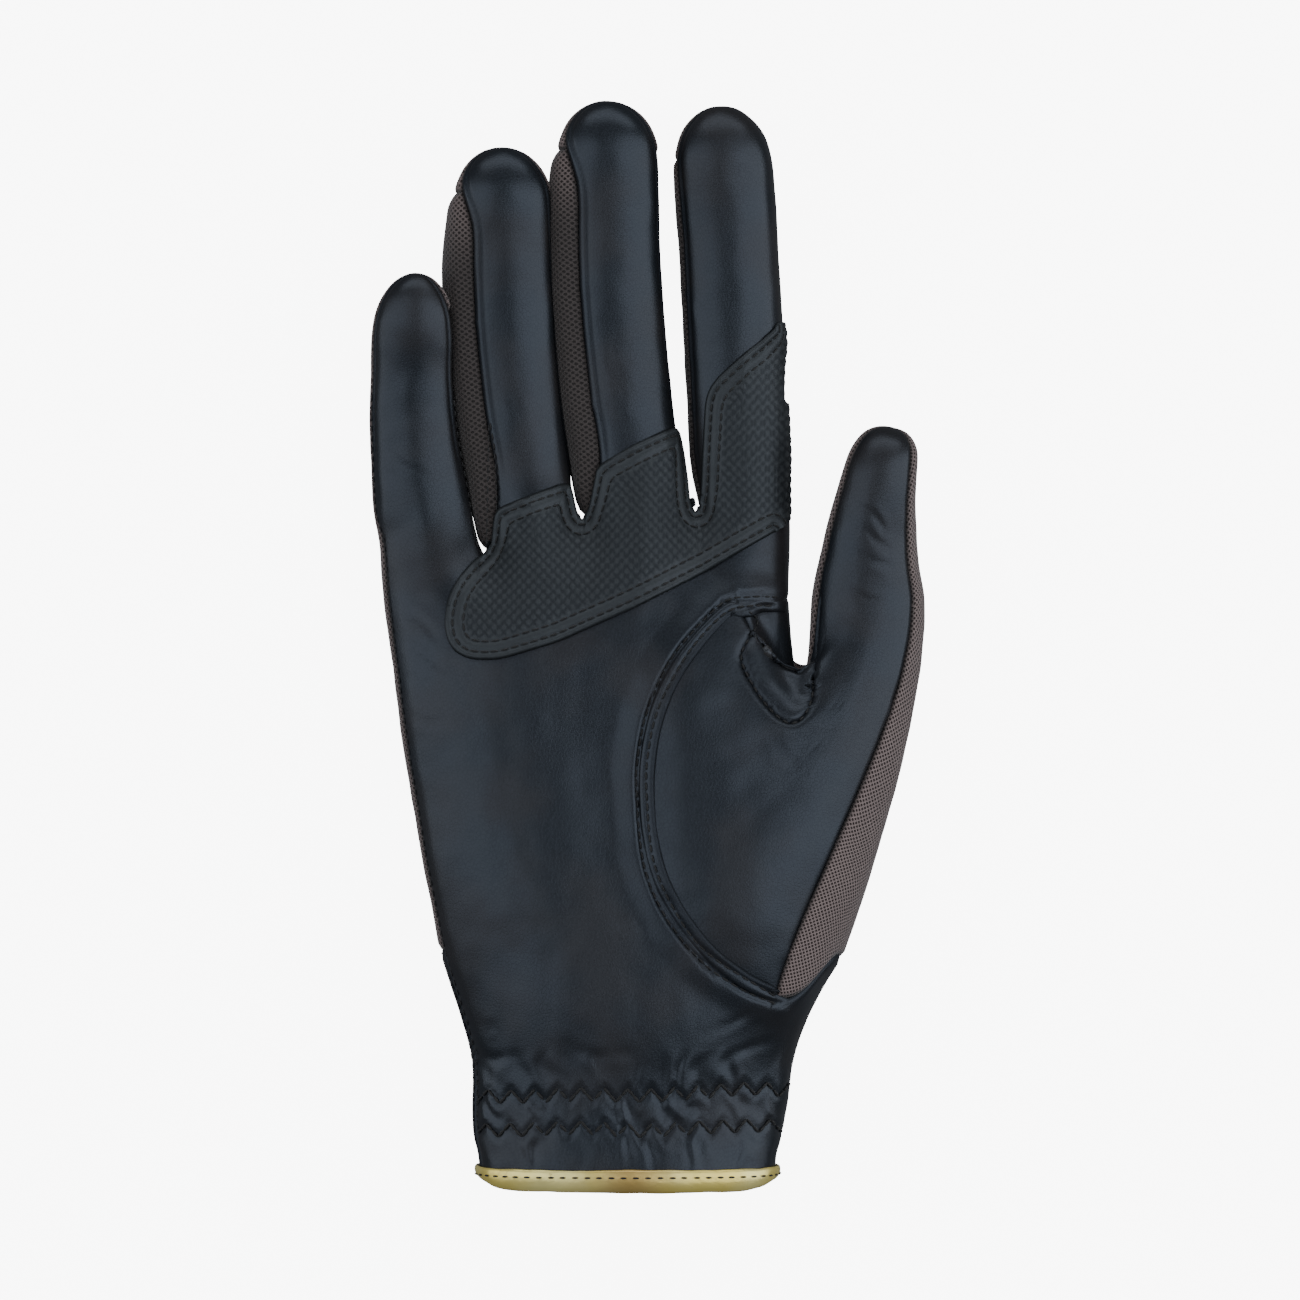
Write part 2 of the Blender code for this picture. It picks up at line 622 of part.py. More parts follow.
def add_thumb_band(skin, previous, current, panels, ring):
    names = thumb_panels(panels, ring)
    skin.strip(names, previous + previous[:1], current + current[:1])


FOURCHETTES = ("fourchette_little_ring", "fourchette_ring_middle", "fourchette_middle_index")
WALLS = {
    "palm_leather": LEATHER_WALL,
    "thumb_leather": LEATHER_WALL,
    "thumb_gusset": LEATHER_WALL,
    "cuff_back": LEATHER_WALL,
    "back_mesh": MESH_WALL,
    "thumb_mesh": MESH_WALL,
    **{name: MESH_WALL for name in FOURCHETTES},
}


PANELS = tuple(WALLS)
SMALL_PANELS = FOURCHETTES + ("thumb_gusset",)


def skin_mesh():
    """The whole skin as one bmesh of outward triangles, whose material index says the panel."""
    skin = Skin()
    chains = body(skin)
    sides = [chains[WEB_ROW, False]]
    for web, name in enumerate(FOURCHETTES):
        pair = [web_chain(skin, web, right) for right in (0, 1)]
        skin.strip([name] * SIDE_CELLS, *pair)
        sides += pair
    sides.append(chains[WEB_ROW, True])
    for number in range(FINGERS_COUNT):
        finger_tube(skin, number, sides[2 * number], sides[2 * number + 1])
    thumb(skin, chains)
    bm = bmesh.new()
    made = {key: bm.verts.new(point) for key, point in skin.points.items()}
    for panel, keys in skin.faces:
        bm.faces.new([made[k] for k in keys]).material_index = PANELS.index(panel)
    bmesh.ops.recalc_face_normals(bm, faces=bm.faces)
    bmesh.ops.triangulate(bm, faces=bm.faces, quad_method="SHORT_EDGE")
    bm.normal_update()
    bm.verts.index_update()
    return skin, bm, made


def seam_shift(vert, faces, shrink):
    """How far a seam's point moves into its panel, so that two panels keep the seam's gap.

    Both panels' walls share the point's normal, so the way in is square to that normal. At the
    end of a slit, and where a wall turns away below a seam, it points at the panel's own faces.
    """
    total, count = Vector(), 0
    for edge in vert.link_edges:
        mine = [f for f in edge.link_faces if f in faces]
        if len(mine) != 1 or len(edge.link_faces) == 1:
            continue
        along = (edge.verts[1].co - edge.verts[0].co).normalized()
        way = mine[0].normal.cross(along)
        if way.dot(mine[0].calc_center_median() - edge.verts[0].co) < 0:
            way.negate()
        total += way - vert.normal * way.dot(vert.normal)
        count += 1
    if not count:
        return Vector()
    if total.length > SHARP_CORNER * count:
        return total.normalized() * min(MOST_MITER, count / total.length) * shrink
    mine = [f for f in vert.link_faces if f in faces]
    way = sum((f.calc_center_median() - vert.co for f in mine), Vector())
    way -= vert.normal * way.dot(vert.normal)
    spread = sum(loop.calc_angle() for loop in vert.link_loops if loop.face in faces)
    return way.normalized() * shrink * (MOST_MITER if spread > math.pi else 1.0)


def add_rim(bm, outer, inner, a, b):
    """The wall's edge between two points, cut the same way for the panels on both sides of a seam."""
    if a.index < b.index:
        bm.faces.new((outer[b], outer[a], inner[b]))
        bm.faces.new((outer[a], inner[a], inner[b]))
    else:
        bm.faces.new((outer[b], outer[a], inner[a]))
        bm.faces.new((outer[b], inner[a], inner[b]))


def panel_bmesh(faces, wall, shrink):
    """A closed wall over some of the skin's faces, thickened inwards."""
    faces = set(faces)
    bm = bmesh.new()
    outer, inner = {}, {}
    for face in faces:
        for vert in face.verts:
            if vert not in outer:
                place = vert.co + seam_shift(vert, faces, shrink)
                outer[vert] = bm.verts.new(place)
                inner[vert] = bm.verts.new(place - vert.normal * wall)
    for face in faces:
        bm.faces.new([outer[v] for v in face.verts])
        bm.faces.new([inner[v] for v in reversed(face.verts)])
        for loop in face.loops:
            mine = [f for f in loop.edge.link_faces if f in faces]
            if len(mine) == 1:
                add_rim(bm, outer, inner, loop.vert, loop.link_loop_next.vert)
    return bm


def colour_material(name, colour, roughness, metallic=0.0):
    material = bpy.data.materials.new(name)
    material.use_nodes = True
    shader = material.node_tree.nodes["Principled BSDF"]
    shader.inputs["Base Color"].default_value = (*colour, 1)
    shader.inputs["Roughness"].default_value = roughness
    shader.inputs["Metallic"].default_value = metallic
    return material


def add_object(name, bm, collection, material):
    bmesh.ops.triangulate(bm, faces=bm.faces)
    bmesh.ops.recalc_face_normals(bm, faces=bm.faces)
    mesh = bpy.data.meshes.new(name)
    bm.to_mesh(mesh)
    bm.free()
    mesh.materials.append(material)
    mesh.shade_smooth()
    mesh.set_sharp_from_angle(angle=math.radians(50))
    obj = bpy.data.objects.new(name, mesh)
    collection.objects.link(obj)
    return obj


def binding_section(rise):
    """The binding's outline round the leather's edge: out from the skin, up from the hem.

    Its upper edges run straight across the glove, so they are lower where the hem rises.
    """
    wall, gap = BINDING_WALL, SEAM_GAP
    inside = -LEATHER_WALL - gap
    top = max(BINDING_LEAST, BINDING_HEIGHT - rise)
    turn_in = max(BINDING_LEAST, BINDING_TURN_IN - rise)
    return (
        (gap, top), (gap, -gap), (inside, -gap), (inside, turn_in),
        (inside - wall, turn_in), (inside - wall, -gap - wall),
        (gap + wall, -gap - wall), (gap + wall, top),
    )


def hem_binding(skin, made):
    """The section swept round the hem, following the leather's edge and its walls."""
    front = [("front", 0, c) for c in range(COLUMNS + 1)]
    right = [("side", 0, True, i) for i in range(1, SIDE_CELLS)]
    back = [("back", 0, c) for c in range(COLUMNS, -1, -1)]
    left = [("side", 0, False, i) for i in range(SIDE_CELLS - 1, 0, -1)]
    bm = bmesh.new()
    rings = []
    for key in front + right + back + left:
        low = skin.points[key]
        high = skin.points[(key[0], 1, *key[2:])]
        up = (high - low).normalized()
        out = made[key].normal - up * made[key].normal.dot(up)
        out.normalize()
        section = binding_section(low.y - body_y(BODY_ROWS[0].left_y))
        rings.append([bm.verts.new(low + out * a + up * b) for a, b in section])
    for a, b in zip(rings, rings[1:] + rings[:1]):
        for i in range(len(a)):
            j = (i + 1) % len(a)
            bm.faces.new((a[i], a[j], b[j], b[i]))
    return bm


def patch_outline():
    """The outline with its corners rounded, in steps short enough to follow the palm."""
    corners = [Vector((body_x(p.x), body_y(p.y))) for p in PATCH_OUTLINE]
    rounded = []
    for before, corner, after in zip(corners[-1:] + corners, corners, corners[1:] + corners[:1]):
        cuts = []
        for other in (before, after):
            run = other - corner
            cuts.append(corner + run * min(0.5, PATCH_CORNER / run.length))
        for n in range(PATCH_CORNER_CUTS):
            t = n / PATCH_CORNER_CUTS
            rounded.append(blend(blend(cuts[0], corner, t), blend(corner, cuts[1], t), t))
        rounded.append(cuts[1])
    points = []
    for start, end in zip(rounded, rounded[1:] + rounded[:1]):
        steps = round((end - start).length / PATCH_STEP)
        points += [blend(start, end, n / max(1, steps)) for n in range(max(1, steps))]
    return [p for p, q in zip(points, points[1:] + points[:1]) if (q - p).length > SEAM_GAP]


def inside_outline(point, outline):
    crossings = 0
    for a, b in zip(outline, outline[1:] + outline[:1]):
        if (a.y > point.y) != (b.y > point.y):
            crossings += point.x < a.x + (b.x - a.x) * (point.y - a.y) / (b.y - a.y)
    return crossings % 2 == 1


def flat_points_and_edges(faces):
    """The plan of some of the skin's faces: each point once, and the edges between them."""
    number, points, edges = {}, [], set()
    for face in faces:
        for vert in face.verts:
            if vert not in number:
                number[vert] = len(points)
                points.append(vert.co.xy)
        for edge in face.edges:
            edges.add(tuple(sorted(number[v] for v in edge.verts)))
    return points, sorted(edges)


def grip_patch(bm_skin):
    """The reinforcement: the palm's own faces cut to its outline and thickened outwards."""
    outline = patch_outline()
    low_y, high_y = min(p.y for p in outline), max(p.y for p in outline)
    leather = PANELS.index("palm_leather")
    palm = [f for f in bm_skin.faces if f.material_index == leather and f.normal.z > 0]
    near = [f for f in palm if any(low_y <= v.co.y <= high_y for v in f.verts)]
    points, edges = flat_points_and_edges(near)
    first = len(points)
    count = len(outline)
    edges += [(first + i, first + (i + 1) % count) for i in range(count)]
    flat, _, faces, *_ = geometry.delaunay_2d_cdt(points + outline, edges, [], 0, 1e-6)
    corners = list({v for f in near for v in f.verts})
    place_of = {v: i for i, v in enumerate(corners)}
    tree = BVHTree.FromPolygons([v.co for v in corners], [[place_of[v] for v in f.verts] for f in near])
    bm = bmesh.new()
    laid = {}
    for i, spot in enumerate(flat):
        place, _, index, _ = tree.ray_cast(Vector((spot.x, spot.y, 1.0)), Vector((0, 0, -1)))
        if place is None:
            continue
        verts = near[index].verts
        weights = interpolate.poly_3d_calc([v.co for v in verts], place)
        normal = sum((v.normal * w for v, w in zip(verts, weights)), Vector()).normalized()
        low = bm.verts.new(place + normal * PATCH_CLEARANCE)
        laid[i] = low, bm.verts.new(place + normal * (PATCH_CLEARANCE + PATCH_WALL))
    used = set()
    for face in faces:
        middle = sum((flat[i] for i in face), Vector((0, 0))) / len(face)
        if not inside_outline(middle, outline) or any(i not in laid for i in face):
            continue
        bm.faces.new([laid[i][1] for i in face])
        bm.faces.new([laid[i][0] for i in reversed(face)])
        used |= set(zip(face, face[1:] + face[:1]))
    for a, b in used:
        if (b, a) not in used:
            bm.faces.new((laid[b][1], laid[a][1], laid[a][0], laid[b][0]))
    loose = [v for v in bm.verts if not v.link_faces]
    bmesh.ops.delete(bm, geom=loose, context="VERTS")
    return bm


def clear_scene():
    for obj in list(bpy.data.objects):
        bpy.data.objects.remove(obj, do_unlink=True)


def main():
    clear_scene()
    collection = bpy.data.collections.new("riding_glove")
    bpy.context.scene.collection.children.link(collection)
    leather = colour_material("smooth_leather", LEATHER_COLOUR, 0.42)
    knit = colour_material("stretch_knit", KNIT_COLOUR, 0.85)
    embossed = colour_material("embossed_grip", PATCH_COLOUR, 0.5)
    gold = colour_material("gold_foil_leather", GOLD_COLOUR, 0.35, 0.9)
    skin, bm, made = skin_mesh()
    for number, (name, wall) in enumerate(WALLS.items()):
        faces = [face for face in bm.faces if face.material_index == number]
        material = knit if wall == MESH_WALL else leather
        shrink = SMALL_PANEL_SHRINK if name in SMALL_PANELS else SEAM_GAP / 2
        add_object(name, panel_bmesh(faces, wall, shrink), collection, material)
    add_object("grip_patch", grip_patch(bm), collection, embossed)
    add_object("hem_binding", hem_binding(skin, made), collection, gold)
    bm.free()


main()
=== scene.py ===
# %% [markdown]
# # A riding glove, palm up
# The solid model of the glove arrives as a fixed frame: eleven thin panels, each in its true place.
# This lesson dresses every panel as the leather, knit, foil or thread that it is on the real glove.
# All lengths are in metres, +Y runs towards the fingertips and +Z towards the palm.

# %% Load the frame
import math
import random

import bmesh
import bpy
import numpy as np
from mathutils import Matrix, Vector, noise
from mathutils.bvhtree import BVHTree
from mathutils.kdtree import KDTree


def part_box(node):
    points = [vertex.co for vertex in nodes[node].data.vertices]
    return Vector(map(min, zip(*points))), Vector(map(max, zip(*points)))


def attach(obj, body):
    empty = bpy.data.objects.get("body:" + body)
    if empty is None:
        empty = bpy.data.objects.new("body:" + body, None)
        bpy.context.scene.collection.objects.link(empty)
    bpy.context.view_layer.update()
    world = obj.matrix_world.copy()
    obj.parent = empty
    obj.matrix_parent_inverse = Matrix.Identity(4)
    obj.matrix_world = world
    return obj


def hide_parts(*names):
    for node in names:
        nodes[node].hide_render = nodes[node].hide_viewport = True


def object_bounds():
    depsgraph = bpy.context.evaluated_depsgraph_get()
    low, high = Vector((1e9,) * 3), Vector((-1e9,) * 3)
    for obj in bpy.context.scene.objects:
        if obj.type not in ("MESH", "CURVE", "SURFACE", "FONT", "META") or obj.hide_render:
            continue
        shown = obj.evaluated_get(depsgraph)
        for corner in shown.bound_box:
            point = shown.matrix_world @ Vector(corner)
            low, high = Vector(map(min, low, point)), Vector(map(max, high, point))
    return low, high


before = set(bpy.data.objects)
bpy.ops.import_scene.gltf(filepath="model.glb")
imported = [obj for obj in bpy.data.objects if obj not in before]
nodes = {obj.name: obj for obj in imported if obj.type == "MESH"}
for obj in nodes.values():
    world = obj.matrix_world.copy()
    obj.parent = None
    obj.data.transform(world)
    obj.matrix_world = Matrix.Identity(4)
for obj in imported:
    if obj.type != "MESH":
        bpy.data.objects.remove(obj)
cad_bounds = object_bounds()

rng = random.Random(11)
print("panels:", ", ".join(sorted(nodes)))

# %% [markdown]
# ## From the picture to the glove
# The picture is square and looks straight down, so one scale turns a place in it into a place on the
# glove. Seams and creases are listed in picture places, because that is where they were looked up,
# and each is later dropped on to the surface under it.

# %% Picture scale
PICTURE_SIDE = 1300
PICTURE_WIDTH = 0.28106
PICTURE_CENTRE = Vector((0.01449, 0.0281))
PIXEL = PICTURE_WIDTH / PICTURE_SIDE
MM = 0.001


def places(*spots):
    """Picture places as x, y on the glove."""
    middle = PICTURE_SIDE / 2
    return [
        Vector((PICTURE_CENTRE.x + (x - middle) * PIXEL, PICTURE_CENTRE.y + (middle - y) * PIXEL))
        for x, y in spots
    ]


def flowing(points, step=0.0004):
    """A smooth line through the points, cut into even steps."""
    points = [Vector(p) for p in points]
    ends = [points[0] * 2 - points[1]] + points + [points[-1] * 2 - points[-2]]
    fine = [points[0]]
    for a, b, c, d in zip(ends, ends[1:], ends[2:], ends[3:]):
        for i in range(1, 25):
            t = i / 24
            fine.append(
                ((b * 2) + (c - a) * t + (a * 2 - b * 5 + c * 4 - d) * t**2
                 + (b * 3 - a - c * 3 + d) * t**3) / 2
            )
    return even_steps(fine, step)


def even_steps(points, step):
    """The line through the points again, with a point at each step along it."""
    line = np.array([p[:] for p in points])
    run = np.concatenate([[0], np.cumsum(np.linalg.norm(np.diff(line, axis=0), axis=1))])
    at = np.linspace(0, run[-1], max(2, round(run[-1] / step) + 1))
    return np.stack([np.interp(at, run, line[:, i]) for i in range(line.shape[1])], axis=1)


print(f"one picture step is {PIXEL / MM:.4f} mm")

# %% [markdown]
# ## Finishes as short sums
# A finish is a small network of nodes. Wiring it by hand is slow to read, so one class wraps a
# socket and lets it stand in a sum, and one method adds any other node.


# %% Sockets that can be added and multiplied
class Wire:
    """A value on its way through a finish. Arithmetic on it adds Math nodes."""

    def __init__(self, finish, socket):
        self.finish = finish
        self.socket = socket

    def math(self, operation, other=0.0, swapped=False):
        pair = (other, self) if swapped else (self, other)
        return self.finish.node("Math", {"operation": operation}, {0: pair[0], 1: pair[1]})

    def __add__(self, other):
        return self.math("ADD", other)

    def __sub__(self, other):
        return self.math("SUBTRACT", other)

    def __rsub__(self, other):
        return self.math("SUBTRACT", other, True)

    def __mul__(self, other):
        return self.math("MULTIPLY", other)

    __radd__ = __add__
    __rmul__ = __mul__


class Finish:
    """A material that is built up node by node."""

    def __init__(self, name):
        self.material = bpy.data.materials.new(name)
        self.material.use_nodes = True
        self.tree = self.material.node_tree
        self.shader = self.tree.nodes["Principled BSDF"]
        print("finish:", name)

    def node(self, kind, settings=None, inputs=None, out=0):
        """Adds a node: its type, its settings, then what its sockets get."""
        made = self.tree.nodes.new("ShaderNode" + kind)
        for key, value in (settings or {}).items():
            setattr(made, key, value)
        for key, value in (inputs or {}).items():
            self.put(made.inputs[key], value)
        return Wire(self, made.outputs[out])

    def put(self, socket, value):
        if isinstance(value, Wire):
            self.tree.links.new(value.socket, socket)
        else:
            socket.default_value = value

    def surface(self, **sockets):
        """Feeds the surface's own sockets, named with _ for a space."""
        for key, value in sockets.items():
            self.put(self.shader.inputs[key.replace("_", " ")], value)
        return self.material

    def coords(self, out="Object"):
        return self.node("TexCoord", out=out)

    def attribute(self, name):
        return self.node("Attribute", {"attribute_name": name}, out="Fac")

    def blend(self, share, low, high):
        """A colour between two others."""
        return self.node(
            "Mix", {"data_type": "RGBA"}, {"Factor": share, 6: low, 7: high}, out=2
        )

    def cloud(self, scale, detail, rough):
        """Soft noise of about 1 / scale metres."""
        return self.node(
            "TexNoise", None,
            {"Vector": self.coords(), "Scale": scale, "Detail": detail, "Roughness": rough},
        )

    def span(self, value, low, high, to_low=0.0, to_high=1.0):
        """Stretches a part of a value's range, and holds it at both ends."""
        return self.node(
            "MapRange",
            {"interpolation_type": "SMOOTHSTEP"},
            {"Value": value, "From Min": low, "From Max": high, "To Min": to_low, "To Max": to_high},
        )

    def relief(self, height, depth, strength):
        """A bump of that many metres."""
        return self.node(
            "Bump", None, {"Height": height, "Distance": depth, "Strength": strength}, out="Normal"
        )


def tone(red, green, blue):
    return (red, green, blue, 1.0)


# %% [markdown]
# ## Leather
# The glove is cut from thin, soft leather, dyed a black that leans to navy, with the middle of the
# palm a touch browner. Grain could be modelled, but at a few tenths of a millimetre it is the
# finish's job: small cells, with finer lines between them, raise a bump of a hundredth of that.


# %% The leather finish
def leather_finish(name, cool, warm, grain=1.0):
    f = Finish(name)
    at = f.coords()
    cells = f.node("TexVoronoi", {"feature": "DISTANCE_TO_EDGE"}, {"Vector": at, "Scale": 1250.0})
    creased = f.span(cells, 0.0, 0.16)
    fine = f.cloud(2600.0, 3.0, 0.6)
    broad = f.cloud(55.0, 2.0, 0.5)
    seam = f.attribute("seam")
    patchy = f.span(broad, 0.38, 0.66)
    colour = f.blend(patchy, cool, warm)
    # Painted shade: the seam attribute darkens the colour in the grooves along the seams and along the
    # line inside the fingertips' edge.
    colour = f.blend(seam * 0.75, colour, tone(0.004, 0.0045, 0.006))
    height = creased * 0.6 + fine * 0.4
    return f.surface(
        Base_Color=colour,
        Roughness=0.29 + patchy * 0.06 + (1 - creased) * 0.06 + seam * 0.25,
        Normal=f.relief(height, 0.00005 * grain, 0.28),
        Specular_IOR_Level=0.50,
        Specular_Tint=tone(0.70, 0.82, 1.0),
    )


leather = leather_finish("black_leather", tone(0.0095, 0.0112, 0.0138), tone(0.0170, 0.0156, 0.0160))
lining = leather_finish("leather_underside", tone(0.030, 0.029, 0.030), tone(0.040, 0.038, 0.037), 2.5)

# %% [markdown]
# ## Knit mesh
# The back of the glove and the strips between the fingers are an airy knit: brown-grey yarn round
# small dark holes that stand in staggered rows, a little over a millimetre apart. Thousands of real
# holes would cost far more faces than the panel itself, so the pattern follows the cloth on the
# panel's own flat map, and its bump rounds the yarn.


# %% The knit finish
def knit_finish(name, pitch=0.00120):
    f = Finish(name)
    across = f.node("SeparateXYZ", None, {0: f.coords("UV")}, out=0)
    along = f.node("SeparateXYZ", None, {0: f.coords("UV")}, out=1)
    u = (across + along) * (1 / pitch)
    v = (across - along) * (1 / pitch)
    wave_u = (u * math.pi).math("SINE")
    wave_v = (v * math.pi).math("SINE")
    hole = f.span((wave_u * wave_v).math("ABSOLUTE"), 0.34, 0.72)
    yarn = f.cloud(5200.0, 2.0, 0.6)
    colour = f.blend(yarn, tone(0.150, 0.114, 0.110), tone(0.270, 0.212, 0.204))
    colour = f.blend(hole, colour, tone(0.015, 0.0070, 0.0062))
    # Painted shade: the seam attribute darkens the yarn in the grooves along the seams, and on the
    # strips between the fingers darkens them towards the web.
    colour = f.blend(f.attribute("seam") * 0.85, colour, tone(0.010, 0.009, 0.009))
    return f.surface(
        Base_Color=colour,
        Roughness=0.62 + hole * 0.25,
        Normal=f.relief(1 - hole, 0.00016, 0.8),
        Specular_IOR_Level=0.35,
        Sheen_Weight=0.25,
        Sheen_Roughness=0.5,
    )


knit = knit_finish("brown_knit")

# %% [markdown]
# ## Grip patch, foil binding and thread
# The patch over the finger roots is leather pressed into small round cells. The pressing is real
# relief here, made further down, and its finish paints shade into the grooves between cells.
# The hem is bound in gold-foiled leather, and everything is sewn with a dull black thread.


# %% Finishes of patch, foil and thread
FOIL_REFLECTION_X = 0.0105


def grip_finish(name):
    f = Finish(name)
    pressed = f.attribute("relief")
    seam = f.attribute("seam")
    # Painted shade: the grooves between cells are darker than the cells' tops, and the patch's edge
    # darker still.
    top = f.span(pressed, 0.25, 0.9)
    colour = f.blend(top, tone(0.0085, 0.0100, 0.0115), tone(0.0260, 0.0295, 0.0320))
    colour = f.blend(seam * 0.7, colour, tone(0.002, 0.0025, 0.003))
    grain = f.cloud(2400.0, 3.0, 0.6)
    return f.surface(
        Base_Color=colour,
        Roughness=0.42 + (1 - pressed) * 0.15,
        Normal=f.relief(grain, 0.00005, 0.4),
        Specular_IOR_Level=0.42,
        Specular_Tint=tone(0.78, 0.88, 1.0),
    )


def foil_finish(name):
    f = Finish(name)
    foil_wear_and_strip_shade = f.cloud(420.0, 4.0, 0.6)
    broad = f.cloud(60.0, 2.0, 0.5)
    across = f.node("SeparateXYZ", None, {0: f.coords()}, out=0)
    # Painted reflection: a darker orange-brown band round x = 10.5 mm across the binding.
    painted_reflection = f.span((across - FOIL_REFLECTION_X).math("ABSOLUTE") + broad * 0.012, 0.005, 0.021, 1.0, 0.0)
    colour = f.blend(f.span(broad, 0.40, 0.66), tone(1.0, 0.90, 0.36), tone(0.92, 0.76, 0.20))
    colour = f.blend(painted_reflection * 0.80, colour, tone(0.50, 0.30, 0.08))
    colour = f.blend(f.span(foil_wear_and_strip_shade, 0.60, 0.80), colour, tone(0.50, 0.40, 0.16))
    return f.surface(
        Base_Color=colour,
        Metallic=0.60,
        Roughness=0.24 + foil_wear_and_strip_shade * 0.16,
        Normal=f.relief(f.cloud(900.0, 3.0, 0.6), 0.00012, 0.5),
    )


def thread_finish(name):
    f = Finish(name)
    twist = f.cloud(3200.0, 2.0, 0.5)
    return f.surface(
        Base_Color=f.blend(twist, tone(0.0012, 0.0015, 0.0022), tone(0.0040, 0.0048, 0.0066)),
        Roughness=0.55 + twist * 0.2,
        Sheen_Weight=0.1,
    )


grip = grip_finish("pressed_leather")
foil = foil_finish("gold_foil")
thread = thread_finish("black_thread")

# %% [markdown]
# ## Where the seams and creases run
# The palm leather laps over the thumb's panel along a wide arc, and two rows of stitches hold the
# lap. A small U-shaped seam sets the gusset in the thumb's crotch. Each line below is looked up in
# the picture. Creases are soft dents, listed with how wide and how deep they are.

# %% Lines of the palm
lap_edge = flowing(places(
    (752, 614), (733, 623), (715, 637), (690, 665), (668, 710), (657, 760), (656, 800),
    (662, 850), (680, 900), (710, 945), (768, 985),
))
lap_rows = [
    flowing(places(
        (772, 606), (750, 606), (728, 611), (702, 635), (680, 665), (657, 711), (647, 760),
        (647, 800), (653, 857), (673, 905), (706, 949), (774, 993),
    )),
    flowing(places(
        (778, 597), (750, 597), (725, 601), (696, 627), (670, 660), (647, 710), (637, 760),
        (637, 800), (643, 860), (663, 911), (699, 957), (740, 986), (775, 1001),
    )),
]
crotch_seam = flowing(places(
    (747, 611), (757, 621), (750, 636), (742, 650), (741, 662), (750, 681), (762, 700), (777, 716),
    (792, 723), (804, 713), (811, 697), (812, 678),
))

# picture places along the crease, then its width and depth in millimetres
CREASES = [
    ([(858, 506), (872, 516), (884, 532)], 1.3, 0.30),
    ([(862, 528), (874, 541), (889, 551)], 1.2, 0.28),
    ([(856, 552), (872, 562), (892, 567)], 1.2, 0.25),
    ([(848, 588), (864, 600), (886, 604)], 1.5, 0.22),
    ([(606, 352), (616, 372), (634, 388)], 1.5, 0.32),
    ([(612, 380), (626, 396), (646, 402)], 1.3, 0.26),
    ([(598, 396), (610, 412), (628, 422)], 1.2, 0.22),
    ([(692, 300), (704, 316), (724, 324)], 1.4, 0.24),
    ([(700, 340), (712, 350), (730, 352)], 1.2, 0.20),
    ([(508, 398), (522, 414), (544, 420)], 1.4, 0.24),
    ([(392, 452), (406, 468), (428, 474)], 1.4, 0.24),
    ([(402, 610), (424, 622), (440, 640)], 1.3, 0.30),
    ([(400, 640), (422, 650), (446, 668)], 1.4, 0.34),
    ([(404, 676), (428, 684), (456, 690)], 1.4, 0.30),
    ([(410, 716), (430, 722), (448, 720)], 1.3, 0.22),
    ([(786, 728), (804, 742), (830, 748)], 1.3, 0.28),
    ([(770, 736), (788, 760), (812, 774)], 1.5, 0.26),
    ([(820, 690), (836, 704), (852, 708)], 1.2, 0.26),
    ([(760, 606), (768, 640), (766, 668)], 2.2, 0.35),
    ([(452, 1010), (474, 1022), (500, 1024)], 1.5, 0.28),
    ([(470, 1048), (496, 1056), (520, 1050)], 1.5, 0.26),
    ([(700, 1030), (730, 1020), (756, 1004)], 1.6, 0.26),
    ([(716, 1060), (744, 1046), (776, 1036)], 1.6, 0.28),
    ([(560, 1040), (600, 1052), (640, 1046)], 2.2, 0.22),
]
creases = [(flowing(places(*spots)), width * MM, depth * MM) for spots, width, depth in CREASES]
print(len(creases), "creases,", len(lap_rows), "rows on the lap")

# %% [markdown]
# ## Distances as arrays
# Every groove, lap and crease is a height that depends on how far a point is from a line. Working
# that out for forty thousand points in a Python loop is slow, so it is done in arrays.


# %% Distance helpers
def from_line(spots, line):
    """Distance of each point from a line, its side, and the share of the line's run beside it."""
    spots = np.asarray(spots)[:, : line.shape[1]]
    best = np.full(len(spots), np.inf)
    side = np.zeros(len(spots))
    share = np.zeros(len(spots))
    for i, (a, b) in enumerate(zip(line[:-1], line[1:])):
        run = b - a
        t = np.clip((spots - a) @ run / (run @ run), 0, 1)
        gap = spots - a - t[:, None] * run
        far = np.einsum("ij,ij->i", gap, gap)
        near = far < best
        best[near] = far[near]
        side[near] = np.sign(run[0] * gap[near, 1] - run[1] * gap[near, 0])
        share[near] = (i + t[near]) / (len(line) - 1)
    return np.sqrt(best), side, share


def step_up(value, low, high):
    t = np.clip((np.asarray(value) - low) / (high - low), 0, 1)
    return t * t * (3 - 2 * t)


def bell(value, width):
    return np.exp(-((np.asarray(value) / width) ** 2))


# %% [markdown]
# ## One panel's outer side
# Each panel of the frame is a closed wall: an outer side, an inner side and a narrow rim, with sharp
# edges between them. The outer side is the larger of the two sheets, so walking over the faces
# without crossing a sharp edge finds it. Only the gusset is hollowed like a saddle, where the inner
# sheet is the larger one, so there the sheet is picked that faces away from the hand. The sheet is
# then joined into quads, because a subdivision surface runs smoothly over quads and puckers on
# triangles.

# %% Take the outer side
SHARP = math.radians(38)
MERGE = 1e-6


def to_quads(bm, bend):
    """Joins triangles in pairs where they bend by less than that many degrees."""
    bmesh.ops.join_triangles(
        bm,
        faces=bm.faces,
        angle_face_threshold=math.radians(bend),
        angle_shape_threshold=math.radians(60),
    )


